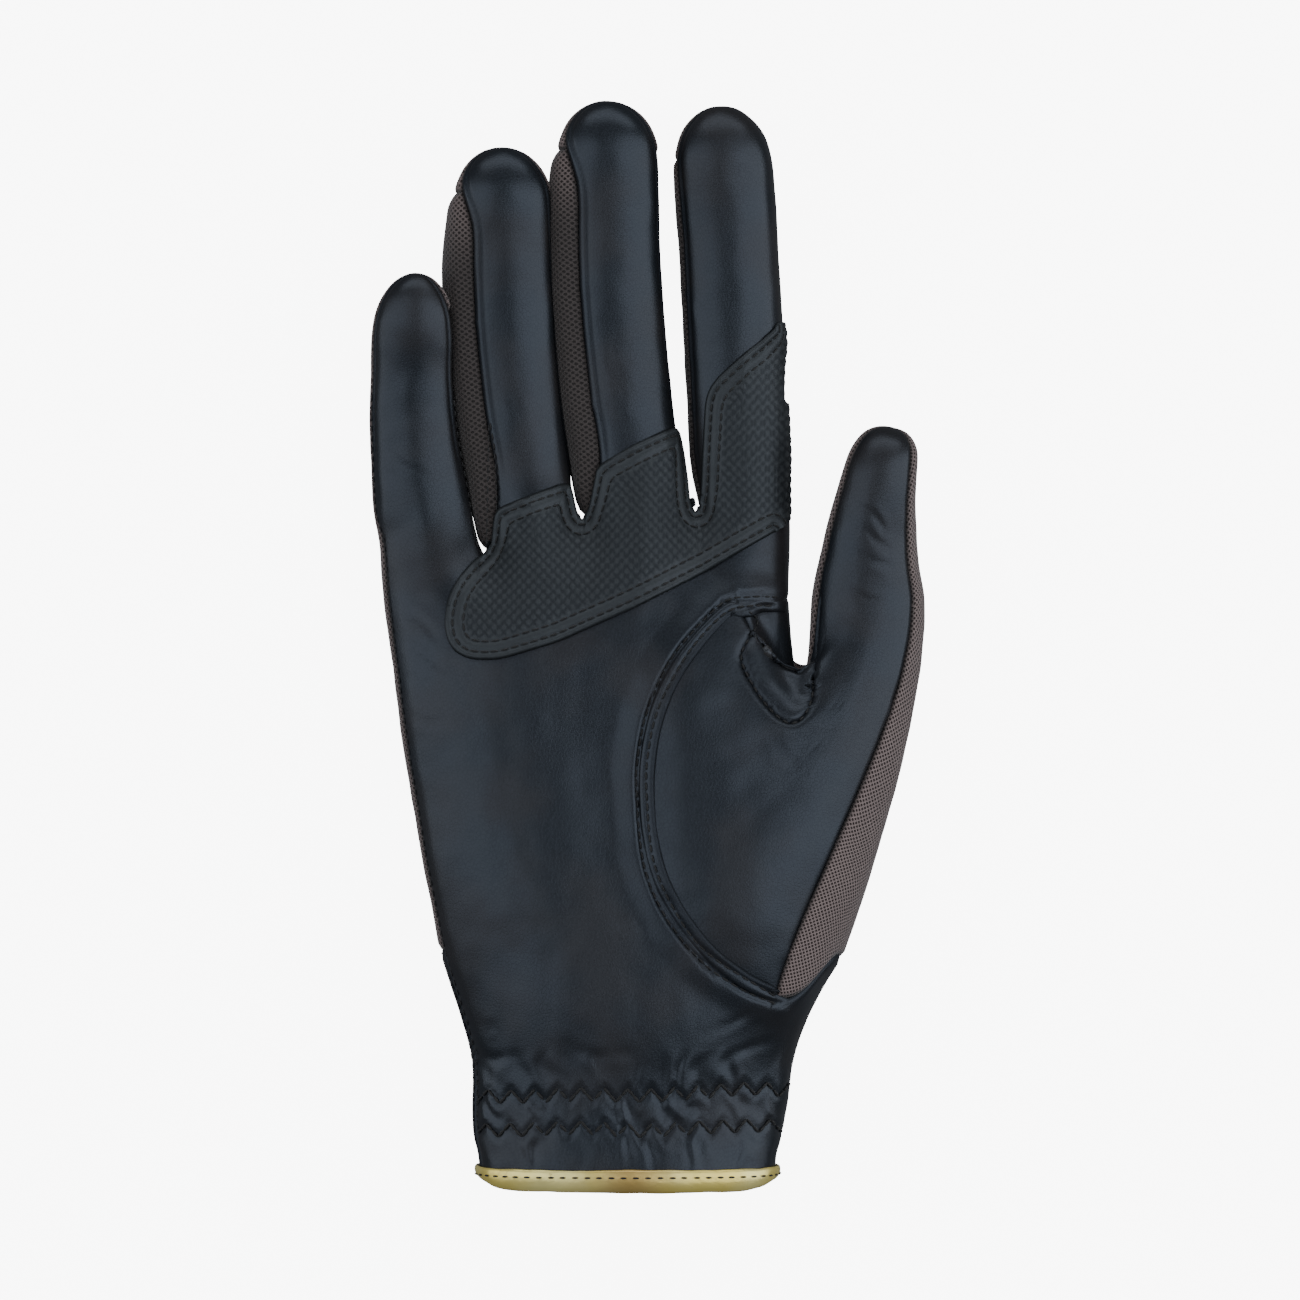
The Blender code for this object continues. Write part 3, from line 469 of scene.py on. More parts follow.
def outer_side(node, facing=None):
    """The larger sheet of a panel, or the one that faces a given way, as quads."""
    bm = bmesh.new()
    bm.from_mesh(nodes[node].data)
    bmesh.ops.remove_doubles(bm, verts=bm.verts, dist=MERGE)
    left = set(bm.faces)
    sheets = []
    while left:
        sheet, todo = [], [left.pop()]
        while todo:
            face = todo.pop()
            sheet.append(face)
            for edge in face.edges:
                if len(edge.link_faces) == 2 and edge.calc_face_angle() < SHARP:
                    for other in edge.link_faces:
                        if other in left:
                            left.remove(other)
                            todo.append(other)
        sheets.append(sheet)
    facing = facing and Vector(facing)
    keep = set(max(sheets, key=lambda s: sum(
        f.calc_area() * (f.normal.dot(facing) if facing else 1) for f in s
    )))
    bmesh.ops.delete(bm, geom=[f for f in bm.faces if f not in keep], context="FACES")
    to_quads(bm, 40)
    return bm


def new_piece(name, mesh, slot, *finishes):
    """Links a mesh as a piece of the glove."""
    piece = bpy.data.objects.new(name, mesh)
    bpy.context.scene.collection.objects.link(piece)
    for finish in finishes:
        mesh.materials.append(finish)
    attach(piece, "root")
    return piece


# %% [markdown]
# A knit needs a flat map that follows the cloth. The rough sheet is small, so it is unwrapped before
# it is smoothed, and then scaled until one unit of the map is one metre of cloth. A subdivision
# surface also shrinks away from the points it is given, which would open gaps between the fingers.
# So a panel's points are moved out by what they missed, until the smooth sheet nearly meets them.


# %% Flatten and smooth a sheet
def flatten(piece):
    """Gives the sheet a flat map in metres."""
    bpy.context.view_layer.objects.active = piece
    piece.select_set(True)
    bpy.ops.object.mode_set(mode="EDIT")
    bpy.ops.mesh.select_all(action="SELECT")
    bpy.ops.uv.unwrap(method="CONFORMAL", margin=0.0)
    bpy.ops.object.mode_set(mode="OBJECT")
    piece.select_set(False)
    bm = bmesh.new()
    bm.from_mesh(piece.data)
    uv = bm.loops.layers.uv.active
    flat_area = 0.0
    for face in bm.faces:
        spots = [loop[uv].uv for loop in face.loops]
        flat_area += abs(sum(a.cross(b) for a, b in zip(spots, spots[1:] + spots[:1]))) / 2
    scale = math.sqrt(sum(f.calc_area() for f in bm.faces) / flat_area)
    for face in bm.faces:
        for loop in face.loops:
            loop[uv].uv *= scale
    bm.to_mesh(piece.data)
    bm.free()


def spots_of(mesh):
    """The points and normals of a mesh, as arrays."""
    count = len(mesh.vertices)
    spots = np.empty(count * 3, np.float32)
    normals = np.empty(count * 3, np.float32)
    mesh.vertices.foreach_get("co", spots)
    mesh.vertices.foreach_get("normal", normals)
    return spots.reshape(-1, 3).astype(float), normals.reshape(-1, 3).astype(float)


def move_to(mesh, spots):
    mesh.vertices.foreach_set("co", np.asarray(spots, np.float32).ravel())
    mesh.update()


def result_of(piece):
    """What the piece's modifiers make, as a mesh of its own."""
    bpy.context.view_layer.update()
    return bpy.data.meshes.new_from_object(piece.evaluated_get(bpy.context.evaluated_depsgraph_get()))


def soften(piece, levels, rounds=0):
    """Keeps a subdivision surface that still runs through the rough sheet's own points."""
    soft = piece.modifiers.new("soft", "SUBSURF")
    soft.levels = soft.render_levels = 2
    soft.boundary_smooth = "PRESERVE_CORNERS"
    soft.uv_smooth = "PRESERVE_BOUNDARIES"
    rough = piece.data
    goal = spots_of(rough)[0]
    for _ in range(rounds):
        trial = result_of(piece)
        missed = goal - spots_of(trial)[0][: len(goal)]
        bpy.data.meshes.remove(trial)
        move_to(rough, spots_of(rough)[0] + missed)
    soft.levels = soft.render_levels = levels
    piece.data = result_of(piece)
    piece.modifiers.clear()
    bpy.data.meshes.remove(rough)


def edge_distance(mesh, spots, keep=lambda spot: True):
    """How far each point is from the sheet's own edge, or from a part of it."""
    bm = bmesh.new()
    bm.from_mesh(mesh)
    edges = [e for e in bm.edges if e.is_boundary and keep(e.verts[0].co)]
    tree = KDTree(len(edges) * 3)
    for i, edge in enumerate(edges):
        a, b = (v.co for v in edge.verts)
        for j in range(3):
            tree.insert(a.lerp(b, j / 3), i)
    tree.balance()
    bm.free()
    return np.array([tree.find(s)[2] for s in spots])


def keep_attribute(mesh, name, values):
    layer = mesh.attributes.new(name, "FLOAT", "POINT")
    layer.data.foreach_set("value", np.asarray(values, np.float32))


# %% [markdown]
# ## How soft leather lies
# No panel is a perfect surface. Slow waves make it uneven, small ones give it life, and at every
# seam the leather turns in and goes down to its neighbour, which leaves the groove that shows in
# raking light. The waves depend only on the place in space, so two panels that share a seam move
# together.

# %% Heights that every panel shares
TURN_IN = 0.0013
TURN_DEPTH = 0.00055


def unevenness(spots, slow=0.00030, quick=0.00010):
    return np.array([
        slow * noise.noise(Vector(s) * 62.0) + quick * noise.noise(Vector(s) * 210.0) for s in spots
    ])


def turned_in(gap):
    return -TURN_DEPTH * np.clip(1 - gap / TURN_IN, 0, 1) ** 2


def creased(spots, normals):
    """The dents of the creases, with a soft shoulder at both sides."""
    height = np.zeros(len(spots))
    facing = step_up(normals[:, 2], 0.0, 0.4)
    for line, width, depth in creases:
        gap, _, share = from_line(spots, line)
        fade = np.sin(np.pi * np.clip(share, 0, 1)) ** 0.5
        height -= depth * fade * (bell(gap, width * 0.6) - 0.55 * bell(gap, width * 1.7))
    return height * facing


# %% [markdown]
# ## Cuff with its gathers
# Two zigzag rows sew an elastic tape behind the wrist. The tape draws the leather together, so it
# puffs up in small triangles between the threads and wrinkles slantwise between the rows. The
# height follows the same zigzag that the thread is laid on later.

# %% Zigzag lines and gathers
ZIGZAG_ROWS = [
    [(478, 1094), (520, 1093), (580, 1090), (640, 1091), (700, 1088), (750, 1085), (789, 1089)],
    [(476, 1128), (520, 1126), (580, 1123), (640, 1126), (700, 1123), (750, 1122), (781, 1124)],
]
ZIGZAG_PITCH = 0.0050
ZIGZAG_HEIGHT = 0.0029
GATHERED_FROM = -0.058
GATHERED_TO = -0.086
THREAD_DENT = 0.00042
PUFF = 0.00016
SLANT_WRINKLE = 0.00022
SLANT_PITCH = 0.0062
UPRIGHT_WRINKLE = 0.00020
UPRIGHT_PITCH = 0.0058
UPRIGHT_OFF = 0.0085


def zigzag(row):
    """The row's corner places, up and down about its middle line."""
    middle = flowing(places(*row), ZIGZAG_PITCH / 2)
    offset = ZIGZAG_HEIGHT / 2
    return np.array([[x, y + (offset if i % 2 else -offset)] for i, (x, y) in enumerate(middle)])


zigzags = [zigzag(row) for row in ZIGZAG_ROWS]


def gathered(spots, normals):
    """Puffs and slanting wrinkles round the zigzag rows."""
    height = np.zeros(len(spots))
    near_cuff = (spots[:, 1] < GATHERED_FROM) & (spots[:, 1] > GATHERED_TO)
    here = spots[near_cuff]
    puffed = np.zeros(len(here))
    for line in zigzags:
        gap, _, _ = from_line(here, line)
        puffed -= THREAD_DENT * bell(gap, 0.00065)
        puffed += PUFF * bell(gap, 0.0022)
    slant = (here[:, 0] + here[:, 1] * 0.9) * 2 * math.pi / SLANT_PITCH
    wobble = np.array([noise.noise(Vector(s) * 160.0) for s in here])
    middle = (zigzags[0][:, 1].mean() + zigzags[1][:, 1].mean()) / 2
    between = bell(here[:, 1] - middle, 0.0045)
    puffed += SLANT_WRINKLE * between * np.sin(slant + wobble * 4.0) * (0.6 + wobble)
    upright = here[:, 0] * 2 * math.pi / UPRIGHT_PITCH
    below = bell(here[:, 1] - (middle - UPRIGHT_OFF), 0.0035)
    above = bell(here[:, 1] - (middle + UPRIGHT_OFF), 0.0040)
    puffed += UPRIGHT_WRINKLE * (below + above) * np.sin(upright + wobble * 5.0) * (0.6 + wobble)
    height[near_cuff] = puffed
    return height * step_up(normals[:, 2], -0.1, 0.3)


print(f"{sum(len(z) - 1 for z in zigzags)} zigzag legs")

# %% [markdown]
# ## The lap round the thumb
# The palm leather does not stop at the thumb's panel: it goes on over it for nearly four
# millimetres and is sewn down with two rows. The solid has the seam at the outer row, so the palm's
# sheet is extruded from there, ring by ring, each ring laid on the thumb's panel and lifted by one
# thickness of leather. Every stitch row then pulls a fine channel into it.

# %% Lap, channels and crotch seam
LAP_LIFT = 0.00060
LAP_WIDTH = 0.0036
LAP_RINGS = 9
LAP_CLIMB = (0.0002, 0.0060)
LAP_REACH = 0.0032
CHANNEL_DEPTH = 0.00026
CHANNEL_WIDTH = 0.00055
VALLEY = flowing(places((764, 618), (774, 640), (786, 668), (800, 692)))
VALLEY_DEPTH = 0.0016
VALLEY_WIDTH = 0.0030


def add_lap(piece, below):
    """Carries the palm's edge over the thumb's panel."""
    bm = bmesh.new()
    bm.from_mesh(piece.data)
    bm.normal_update()
    border = [e for e in bm.edges if e.is_boundary]
    middles = np.array([((e.verts[0].co + e.verts[1].co) / 2)[:] for e in border])
    gap, _, _ = from_line(middles, lap_rows[1])
    up = np.array([(e.verts[0].normal + e.verts[1].normal).z / 2 for e in border])
    edges = [e for e, g, z in zip(border, gap, up) if g < LAP_REACH and z > 0.3]
    middle = sum((e.verts[0].co for e in edges), Vector()) / len(edges)
    thumb_side = Vector((middle.x + 0.012, middle.y, 0))
    for _ in range(LAP_RINGS):
        made = bmesh.ops.extrude_edge_only(bm, edges=edges)["geom"]
        edges = [g for g in made if isinstance(g, bmesh.types.BMEdge)]
        verts = [g for g in made if isinstance(g, bmesh.types.BMVert)]
        ways = {}
        for vert in verts:
            ends = [e.other_vert(vert).co for e in vert.link_edges if e in edges]
            along = (ends[0] - (ends[1] if len(ends) > 1 else vert.co)).normalized()
            _, normal, _, _ = below.find_nearest(vert.co)
            way = normal.cross(along)
            if way.dot(thumb_side - vert.co) < 0:
                way.negate()
            ways[vert] = way
        for vert, way in ways.items():
            spot, normal, _, _ = below.find_nearest(vert.co + way * (LAP_WIDTH / LAP_RINGS))
            vert.co = spot + normal * LAP_LIFT
        for _ in range(2):
            bmesh.ops.smooth_vert(bm, verts=[v for v in verts if len(v.link_edges) > 2], factor=0.3,
                                  use_axis_x=True, use_axis_y=True, use_axis_z=True)
    for face in bm.faces:
        face.smooth = True
    bmesh.ops.recalc_face_normals(bm, faces=bm.faces)
    bm.to_mesh(piece.data)
    bm.free()
    print(f"the lap has {LAP_RINGS} rings of {len(edges)} edges")


def on_lap(spots, normals):
    """The palm climbs on to the lap, and the rows of stitches pull channels into it."""
    gap, side, _ = from_line(spots, lap_rows[1])
    before = np.where(side < 0, gap, -gap)
    height = LAP_LIFT * (1 - step_up(before, *LAP_CLIMB)) * (before > LAP_CLIMB[0])
    for row in lap_rows:
        gap, _, _ = from_line(spots, row)
        height -= CHANNEL_DEPTH * bell(gap, CHANNEL_WIDTH)
    return height * step_up(normals[:, 2], 0.1, 0.4) * (from_line(spots, lap_rows[0])[0] < 0.02)


def in_valley(spots, normals):
    """The gusset sinks between the palm and the thumb."""
    gap, _, _ = from_line(spots, VALLEY)
    return -VALLEY_DEPTH * bell(gap, VALLEY_WIDTH) * step_up(normals[:, 2], 0.2, 0.6)


# %% [markdown]
# ## Dress the panels
# Every panel goes through the same steps: outer side, subdivision, heights along the normals, a
# narrow seam allowance that closes the joint with the next panel, and at last a wall of its real
# thickness on the inside, whose hidden face is the leather's rough underside. Near a seam the wall
# is thinner, as a glover skives the leather there so that a seam doesn't grow thick. Only knit is
# given a flat map, because only its pattern follows the cloth.

# %% Dress one panel
LEATHER_WALL = 0.0012
KNIT_WALL = 0.0010
HEM_TOP = -0.0800
HEM_INSET = 0.0020
HEM_DENT = 0.00030
ALLOWANCE = 0.00055
SMALL_ALLOWANCE = 0.0002
TURN_DOWN = 1.4
SKIVED = 0.0024
SKIVED_SHARE = 0.15
SNAP = 0.0009
gaps = {}
dressed = []


def softened(name, slot, bm, levels=3, mapped=False, rounds=2):
    """A sheet as a smooth piece that rides on the glove."""
    mesh = bpy.data.meshes.new(name)
    bm.to_mesh(mesh)
    bm.free()
    piece = new_piece(name, mesh, slot)
    if mapped:
        flatten(piece)
    soften(piece, levels, rounds)
    piece.data.name = name
    return piece


def turn_under(mesh, allowance):
    """Adds the seam allowance: a narrow strip that goes on past the edge and down behind it."""
    bm = bmesh.new()
    bm.from_mesh(mesh)
    bm.normal_update()
    edges = [e for e in bm.edges if e.is_boundary]
    outward = {}
    for edge in edges:
        a, b = edge.verts
        along = (b.co - a.co).normalized()
        out = (a.co + b.co) / 2 - edge.link_faces[0].calc_center_median()
        out = (out - along * out.dot(along)).normalized()
        for vert in edge.verts:
            outward[vert] = outward.get(vert, Vector()) + out
    made = bmesh.ops.extrude_edge_only(bm, edges=edges)["geom"]
    for vert in made:
        if isinstance(vert, bmesh.types.BMVert):
            old = next(e.other_vert(vert) for e in vert.link_edges if e.other_vert(vert) in outward)
            vert.co = old.co + (outward[old] / 2 - old.normal * TURN_DOWN) * allowance
    for face in bm.faces:
        face.smooth = True
    bm.to_mesh(mesh)
    bm.free()


def clothe(piece, node, finish, wall, heights=(), flat_edge=None, hem=None, shade=0.0,
           allowance=ALLOWANCE):
    """Gives the sheet its folds, finish and wall, and hides its node."""
    mesh = piece.data
    mesh.materials.clear()
    mesh.materials.append(finish)
    mesh.materials.append(lining if finish is leather else finish)
    mesh.polygons.foreach_set("material_index", [0] * len(mesh.polygons))
    mesh.polygons.foreach_set("use_smooth", [True] * len(mesh.polygons))
    spots, normals = spots_of(mesh)
    gap = edge_distance(mesh, spots)
    turn = turned_in(gap)
    if flat_edge is not None:
        turn *= 1 - flat_edge(spots)
    height = unevenness(spots) + turn
    # Painted shade: the seam attribute darkens the colour in the grooves along the panel's edges, and
    # carries any painted shade passed in.
    seam = np.maximum(bell(gap, 0.0005), shade)
    # On the fingers the line inside the edge is dented and darkened with painted shade.
    if hem is not None:
        height -= HEM_DENT * bell(gap - HEM_INSET, 0.0004) * hem(spots)
        seam = np.maximum(seam, 0.9 * bell(gap - HEM_INSET, 0.00032) * hem(spots))
    for more in heights:
        height += more(spots, normals)
    move_to(mesh, spots + normals * height[:, None])
    keep_attribute(mesh, "seam", seam)
    body = step_up(gap, SKIVED / 4, SKIVED)
    gap = edge_distance(mesh, spots, lambda s: s.y > HEM_TOP)
    turn_under(mesh, allowance)
    strip = len(mesh.vertices) - len(gap)
    gaps[piece.name] = np.pad(gap, (0, strip), constant_values=-ALLOWANCE)
    group = piece.vertex_groups.new(name="body")
    for i, weight in enumerate(np.pad(body, (0, strip))):
        group.add([i], weight, "REPLACE")
    thick = piece.modifiers.new("wall", "SOLIDIFY")
    thick.thickness = wall
    thick.offset = -1.0
    thick.use_quality_normals = True
    thick.material_offset = 1
    thick.vertex_group = group.name
    thick.thickness_vertex_group = SKIVED_SHARE
    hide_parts(node)
    dressed.append(piece)
    print(f"{node} dressed: {len(mesh.polygons)} faces on its outer side")
    return piece


# %% [markdown]
# The thumb's panel and the gusset are one surface with a seam drawn across it. They are softened
# together, so that the surface stays whole, and then parted along the U that the picture shows.

# %% Thumb and gusset
WELD = 0.0020


def border_of(bm, number=None):
    """The points on a sheet's edge, or on one of its two parts' edges."""
    return [
        v for v in bm.verts
        if v.is_boundary and (number is None or all(f.material_index == number for f in v.link_faces))
    ]


def partners(some, others):
    """Pairs of points across a seam, the closest first, and none used twice."""
    close = sorted(
        ((a.co - b.co).length, i, j) for i, a in enumerate(some) for j, b in enumerate(others)
        if (a.co - b.co).length < WELD
    )
    pairs = {}
    for _, i, j in close:
        if some[i] not in pairs and others[j] not in pairs.values():
            pairs[some[i]] = others[j]
    return pairs


def thumb_surface(palm):
    """The thumb's panel joined to the gusset, with its edge drawn to the palm's edge."""
    bm = outer_side("thumb_leather")
    gusset = outer_side("thumb_gusset", facing=(1, 0, 0))
    for face in gusset.faces:
        face.material_index = 1
    part = bpy.data.meshes.new("gusset_part")
    gusset.to_mesh(part)
    gusset.free()
    bm.from_mesh(part)
    bpy.data.meshes.remove(part)
    pairs = partners(border_of(bm, 1), border_of(bm, 0))
    for vert, near in pairs.items():
        near.co = (near.co + vert.co) / 2
    bmesh.ops.weld_verts(bm, targetmap=pairs)
    met = partners(border_of(bm, 1), border_of(palm))
    for vert, near in met.items():
        vert.co = near.co
    print(f"{len(pairs)} points join the gusset to the thumb, {len(met)} meet the palm")
    return bm


def within(spot, ring):
    """Whether a place lies inside a closed line in plan."""
    inside = False
    for (ax, ay), (bx, by) in zip(ring, np.roll(ring, -1, axis=0)):
        if (ay > spot.y) != (by > spot.y) and spot.x < ax + (bx - ax) * (spot.y - ay) / (by - ay):
            inside = not inside
    return inside


palm_sheet = outer_side("palm_leather")
thumb_skin = softened("thumb_skin", "leather", thumb_surface(palm_sheet))
crotch_ring = np.concatenate([crotch_seam[::4], places((816, 640), (818, 596), (747, 596))])
bm = bmesh.new()
bm.from_mesh(thumb_skin.data)
for face in bm.faces:
    middle = face.calc_center_median()
    face.material_index = int(face.material_index == 1 or within(middle, crotch_ring))
for vert in bm.verts:
    if len({f.material_index for f in vert.link_faces}) > 1:
        gap = np.linalg.norm(crotch_seam - np.array(vert.co.xy), axis=1)
        if gap.min() < SNAP:
            vert.co.xy = crotch_seam[gap.argmin()]
sides = []
for number in (0, 1):
    part = bm.copy()
    bmesh.ops.delete(part, geom=[f for f in part.faces if f.material_index != number], context="FACES")
    sides.append(part)
bm.free()
sides[0].to_mesh(thumb_skin.data)
mesh = bpy.data.meshes.new("thumb_gusset_skin")
sides[1].to_mesh(mesh)
gusset_skin = new_piece("thumb_gusset_skin", mesh, "leather")
for part in sides:
    part.free()


def lap_side(spots):
    """1 where the lap covers an edge, which then stays flat."""
    return bell(from_line(spots, lap_rows[1])[0], 0.003)


clothe(thumb_skin, "thumb_leather", leather, LEATHER_WALL, (creased, in_valley), lap_side)
clothe(gusset_skin, "thumb_gusset", leather, LEATHER_WALL, (in_valley,), lap_side,
       allowance=SMALL_ALLOWANCE)

# %% [markdown]
# The palm comes next, because its lap is laid on the thumb's finished panel. The back and the
# thumb's knit need nothing of their own. The little, ring and middle fingers touch, so the strips
# between them stand out until no floor shows there, and painted shade darkens every strip between the
# fingers towards the web.

# %% Palm, cuff and knits
def surface_of(*pieces):
    """The outer sides of some pieces, without their seam allowance, ready to be searched."""
    points, faces = [], []
    for piece in pieces:
        start = len(points)
        mesh = piece.data
        outer = gaps.get(piece.name, np.zeros(len(mesh.vertices))) > -ALLOWANCE
        points += [v.co.copy() for v in mesh.vertices]
        for face in mesh.polygons:
            corners = list(face.vertices)
            if outer[corners].all():
                faces.append([start + i for i in corners])
    return BVHTree.FromPolygons(points, faces)


palm_skin = softened("palm_skin", "leather", palm_sheet)
add_lap(palm_skin, surface_of(thumb_skin, gusset_skin))


def palm_flat_edge(spots):
    return np.maximum(
        bell(from_line(spots, lap_edge)[0], 0.0025), bell(from_line(spots, lap_rows[1])[0], 0.0030)
    )


def on_fingers(spots):
    """On the fingers the leather's edge is folded under, and its seam shows inside the edge."""
    return step_up(spots[:, 1], 0.064, 0.074)


clothe(palm_skin, "palm_leather", leather, LEATHER_WALL, (creased, gathered, on_lap), palm_flat_edge,
       on_fingers)
cuff_back_skin = softened("cuff_back_skin", "leather", outer_side("cuff_back"))
clothe(cuff_back_skin, "cuff_back", leather, LEATHER_WALL)


STRIP_BULGE = 0.0022
STRIP_EDGE = 0.0020
# Share of the painted shade and of the bulge at the fingertip, and the run over which both grow to
# full.
STRIP_SHADE_AND_BULGE_RUN = 0.0180
STRIP_SHADE_AND_BULGE_AT_TIP = 0.45


def strip_between(node):
    """A strip that stands out until two fingers touch, with painted shade that darkens it towards the
    web.
    """
    strip = softened(node + "_knit", "knit", outer_side(node), mapped=True)
    spots = spots_of(strip.data)[0]
    from_tip = spots[:, 1].max() - spots[:, 1]
    # Painted shade: the strip darkens from the fingertip towards the web, where the neighbouring
    # fingers shade it; the same share sets the bulge.
    foil_wear_and_strip_shade = STRIP_SHADE_AND_BULGE_AT_TIP + (1 - STRIP_SHADE_AND_BULGE_AT_TIP) * step_up(from_tip, 0.0, STRIP_SHADE_AND_BULGE_RUN)
    fingers_touch = "index" not in node
    full = STRIP_BULGE * foil_wear_and_strip_shade * (1 - bell(edge_distance(strip.data, spots), STRIP_EDGE)) * fingers_touch
    clothe(strip, node, knit, KNIT_WALL, (lambda spots, normals: full,), shade=foil_wear_and_strip_shade)


for node in sorted(nodes):
    if "mesh" in node:
        name = node.replace("mesh", "knit")
        clothe(softened(name, "knit", outer_side(node), mapped=True), node, knit, KNIT_WALL)
    if "fourchette" in node:
        strip_between(node)

# %% [markdown]
# ## The pressed grip patch
# The patch is a separate piece of leather on top of the palm, with cells pressed into it in
# staggered rows. A fine subdivision lets the cells be real relief. The border outside the inner
# stitch row stays smooth, as the presser's frame leaves it. Its underside is glued to the palm and
# never shows, so the wall is only given its rim.

# %% Dress the patch
CELL_ACROSS = 0.0021
CELL_ALONG = 0.0022
CELL_DEPTH = 0.00022
PATCH_WALL = 0.0011
PATCH_EDGE_DROP = 0.00045
PATCH_EDGE_RUN = 0.0008
ROWS_IN = (0.0017, 0.0040)


def pressed_cells(spots):
    """1 on top of a cell, 0 in the grooves."""
    u = spots[:, 0] / CELL_ACROSS + spots[:, 1] / CELL_ALONG
    v = spots[:, 0] / CELL_ACROSS - spots[:, 1] / CELL_ALONG
    return np.abs(np.cos(math.pi * u) * np.cos(math.pi * v)) ** 0.6


def left_of_index_side(spot):
    """The patch runs round the index finger's side, and has no border there."""
    return spot.x < INDEX_SIDE_X


INDEX_SIDE_X = 0.0415
patch_skin = softened("grip_patch_skin", "grip", outer_side("grip_patch"), 4, rounds=0)
mesh = patch_skin.data
mesh.materials.append(grip)
mesh.polygons.foreach_set("use_smooth", [True] * len(mesh.polygons))
spots, normals = spots_of(mesh)
gap = edge_distance(mesh, spots, left_of_index_side)
gaps["grip_patch_skin"] = gap
inside = step_up(gap, ROWS_IN[1] + 0.0004, ROWS_IN[1] + 0.0010)
cells = pressed_cells(spots)
height = unevenness(spots) - PATCH_EDGE_DROP * np.clip(1 - gap / PATCH_EDGE_RUN, 0, 1) ** 2
height += CELL_DEPTH * (cells - 0.7) * inside
for inset in ROWS_IN:
    height -= CHANNEL_DEPTH * bell(gap - inset, 0.0005)
move_to(mesh, spots + normals * height[:, None])
# The relief attribute sets the painted shade in the grooves, the seam attribute the painted shade at
# the patch's edge.
keep_attribute(mesh, "relief", cells * inside + 0.85 * (1 - inside))
keep_attribute(mesh, "seam", bell(gap, 0.0004))
thick = patch_skin.modifiers.new("wall", "SOLIDIFY")
thick.thickness = PATCH_WALL
thick.offset = -1.0
thick.use_rim_only = True
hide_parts("grip_patch")
print(f"grip_patch_skin: {len(mesh.polygons)} faces on its outer side")

# %% [markdown]
# ## The foil binding
# A strip of gold leather is folded over the hem and stitched. It is a closed ring, so its copy only
# needs softer edges and the small dents that a folded strip always has.

# %% Dress the binding
bm = bmesh.new()
bm.from_mesh(nodes["hem_binding"].data)
bmesh.ops.remove_doubles(bm, verts=bm.verts, dist=MERGE)
to_quads(bm, 30)
mesh = bpy.data.meshes.new("hem_binding_foil")
bm.to_mesh(mesh)
bm.free()
binding = new_piece("hem_binding_foil", mesh, "gold")
soften(binding, 2)
mesh = binding.data
mesh.materials.append(foil)
spots, normals = spots_of(mesh)
dents = np.array([
    0.00014 * noise.noise(Vector(s) * 240.0) + 0.00022 * noise.noise(Vector(s) * 90.0) for s in spots
])
move_to(mesh, spots + normals * dents[:, None])
mesh.polygons.foreach_set("use_smooth", [True] * len(mesh.polygons))
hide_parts("hem_binding")
print(f"hem_binding_foil: {len(mesh.polygons)} faces")

# %% [markdown]
# ## Stitches
# A stitch is a short, rounded bit of thread that dips into the leather at both ends. One small
# sphere of a few dozen faces, stretched along the seam, is enough for each of the thousand.
# A row given in picture places is dropped on to the pieces below it, and a row beside a seam
# follows the edge of its own panel.

# %% Stitch helpers
THREAD = 0.00040
FINE_THREAD = 0.00034
STITCH = 0.0018
PITCH = 0.0022


def dropped(line, tree):
    """A flat line laid on the surface below it: its points and the surface's normals."""
    laid = []
    for x, y in line:
        spot, normal, _, _ = tree.ray_cast(Vector((x, y, 0.1)), Vector((0, 0, -1)))
        if spot:
            laid.append((spot, normal))
    return laid


def sew(name, rows, pitch=PITCH, length=STITCH, thick=THREAD, sink=0.1, slot="leather"):
    """Sews stitches along rows of (point, normal) pairs, as one piece."""
    bm = bmesh.new()
    count = 0
    for row in rows:
        if len(row) < 2:
            continue
        line = np.array([[*spot, *normal] for spot, normal in row])
        run = np.concatenate([[0], np.cumsum(np.linalg.norm(np.diff(line[:, :3], axis=0), axis=1))])
        stitches = max(1, int(run[-1] / pitch))
        for i in range(stitches):
            middle = (i + 0.5) * run[-1] / stitches + rng.uniform(-0.04, 0.04) * pitch
            ends = [
                Vector([np.interp(middle + half, run, line[:, k]) for k in range(6)])
                for half in (-length / 2, length / 2)
            ]
            a, b = Vector(ends[0][:3]), Vector(ends[1][:3])
            if (b - a).length < length * 0.5:
                continue
            along = (b - a).normalized()
            normal = Vector((ends[0] + ends[1])[3:]).normalized()
            side = normal.cross(along).normalized()
            up = along.cross(side)
            turn = Matrix((along, side, up)).transposed().to_4x4()
            place = Matrix.Translation((a + b) / 2 + up * thick * (0.5 - sink))
            stretch = Matrix.Diagonal((length / 2, thick / 2 * 1.15, thick / 2, 1.0))
            bmesh.ops.create_uvsphere(
                bm, u_segments=6, v_segments=5, radius=1.0, matrix=place @ turn @ stretch @ SPHERE_TURN
            )
            count += 1
    bmesh.ops.recalc_face_normals(bm, faces=bm.faces)
    for face in bm.faces:
        face.smooth = True
    mesh = bpy.data.meshes.new(name)
    bm.to_mesh(mesh)
    bm.free()
    piece = new_piece(name, mesh, slot, thread)
    print(f"{name}: {count} stitches")
    return piece


SPHERE_TURN = Matrix.Rotation(math.pi / 2, 4, "Y")

# %% [markdown]
# The rows on the palm come first: the lap round the thumb, the gusset's seam and the zigzags, whose
# legs take two stitches each.

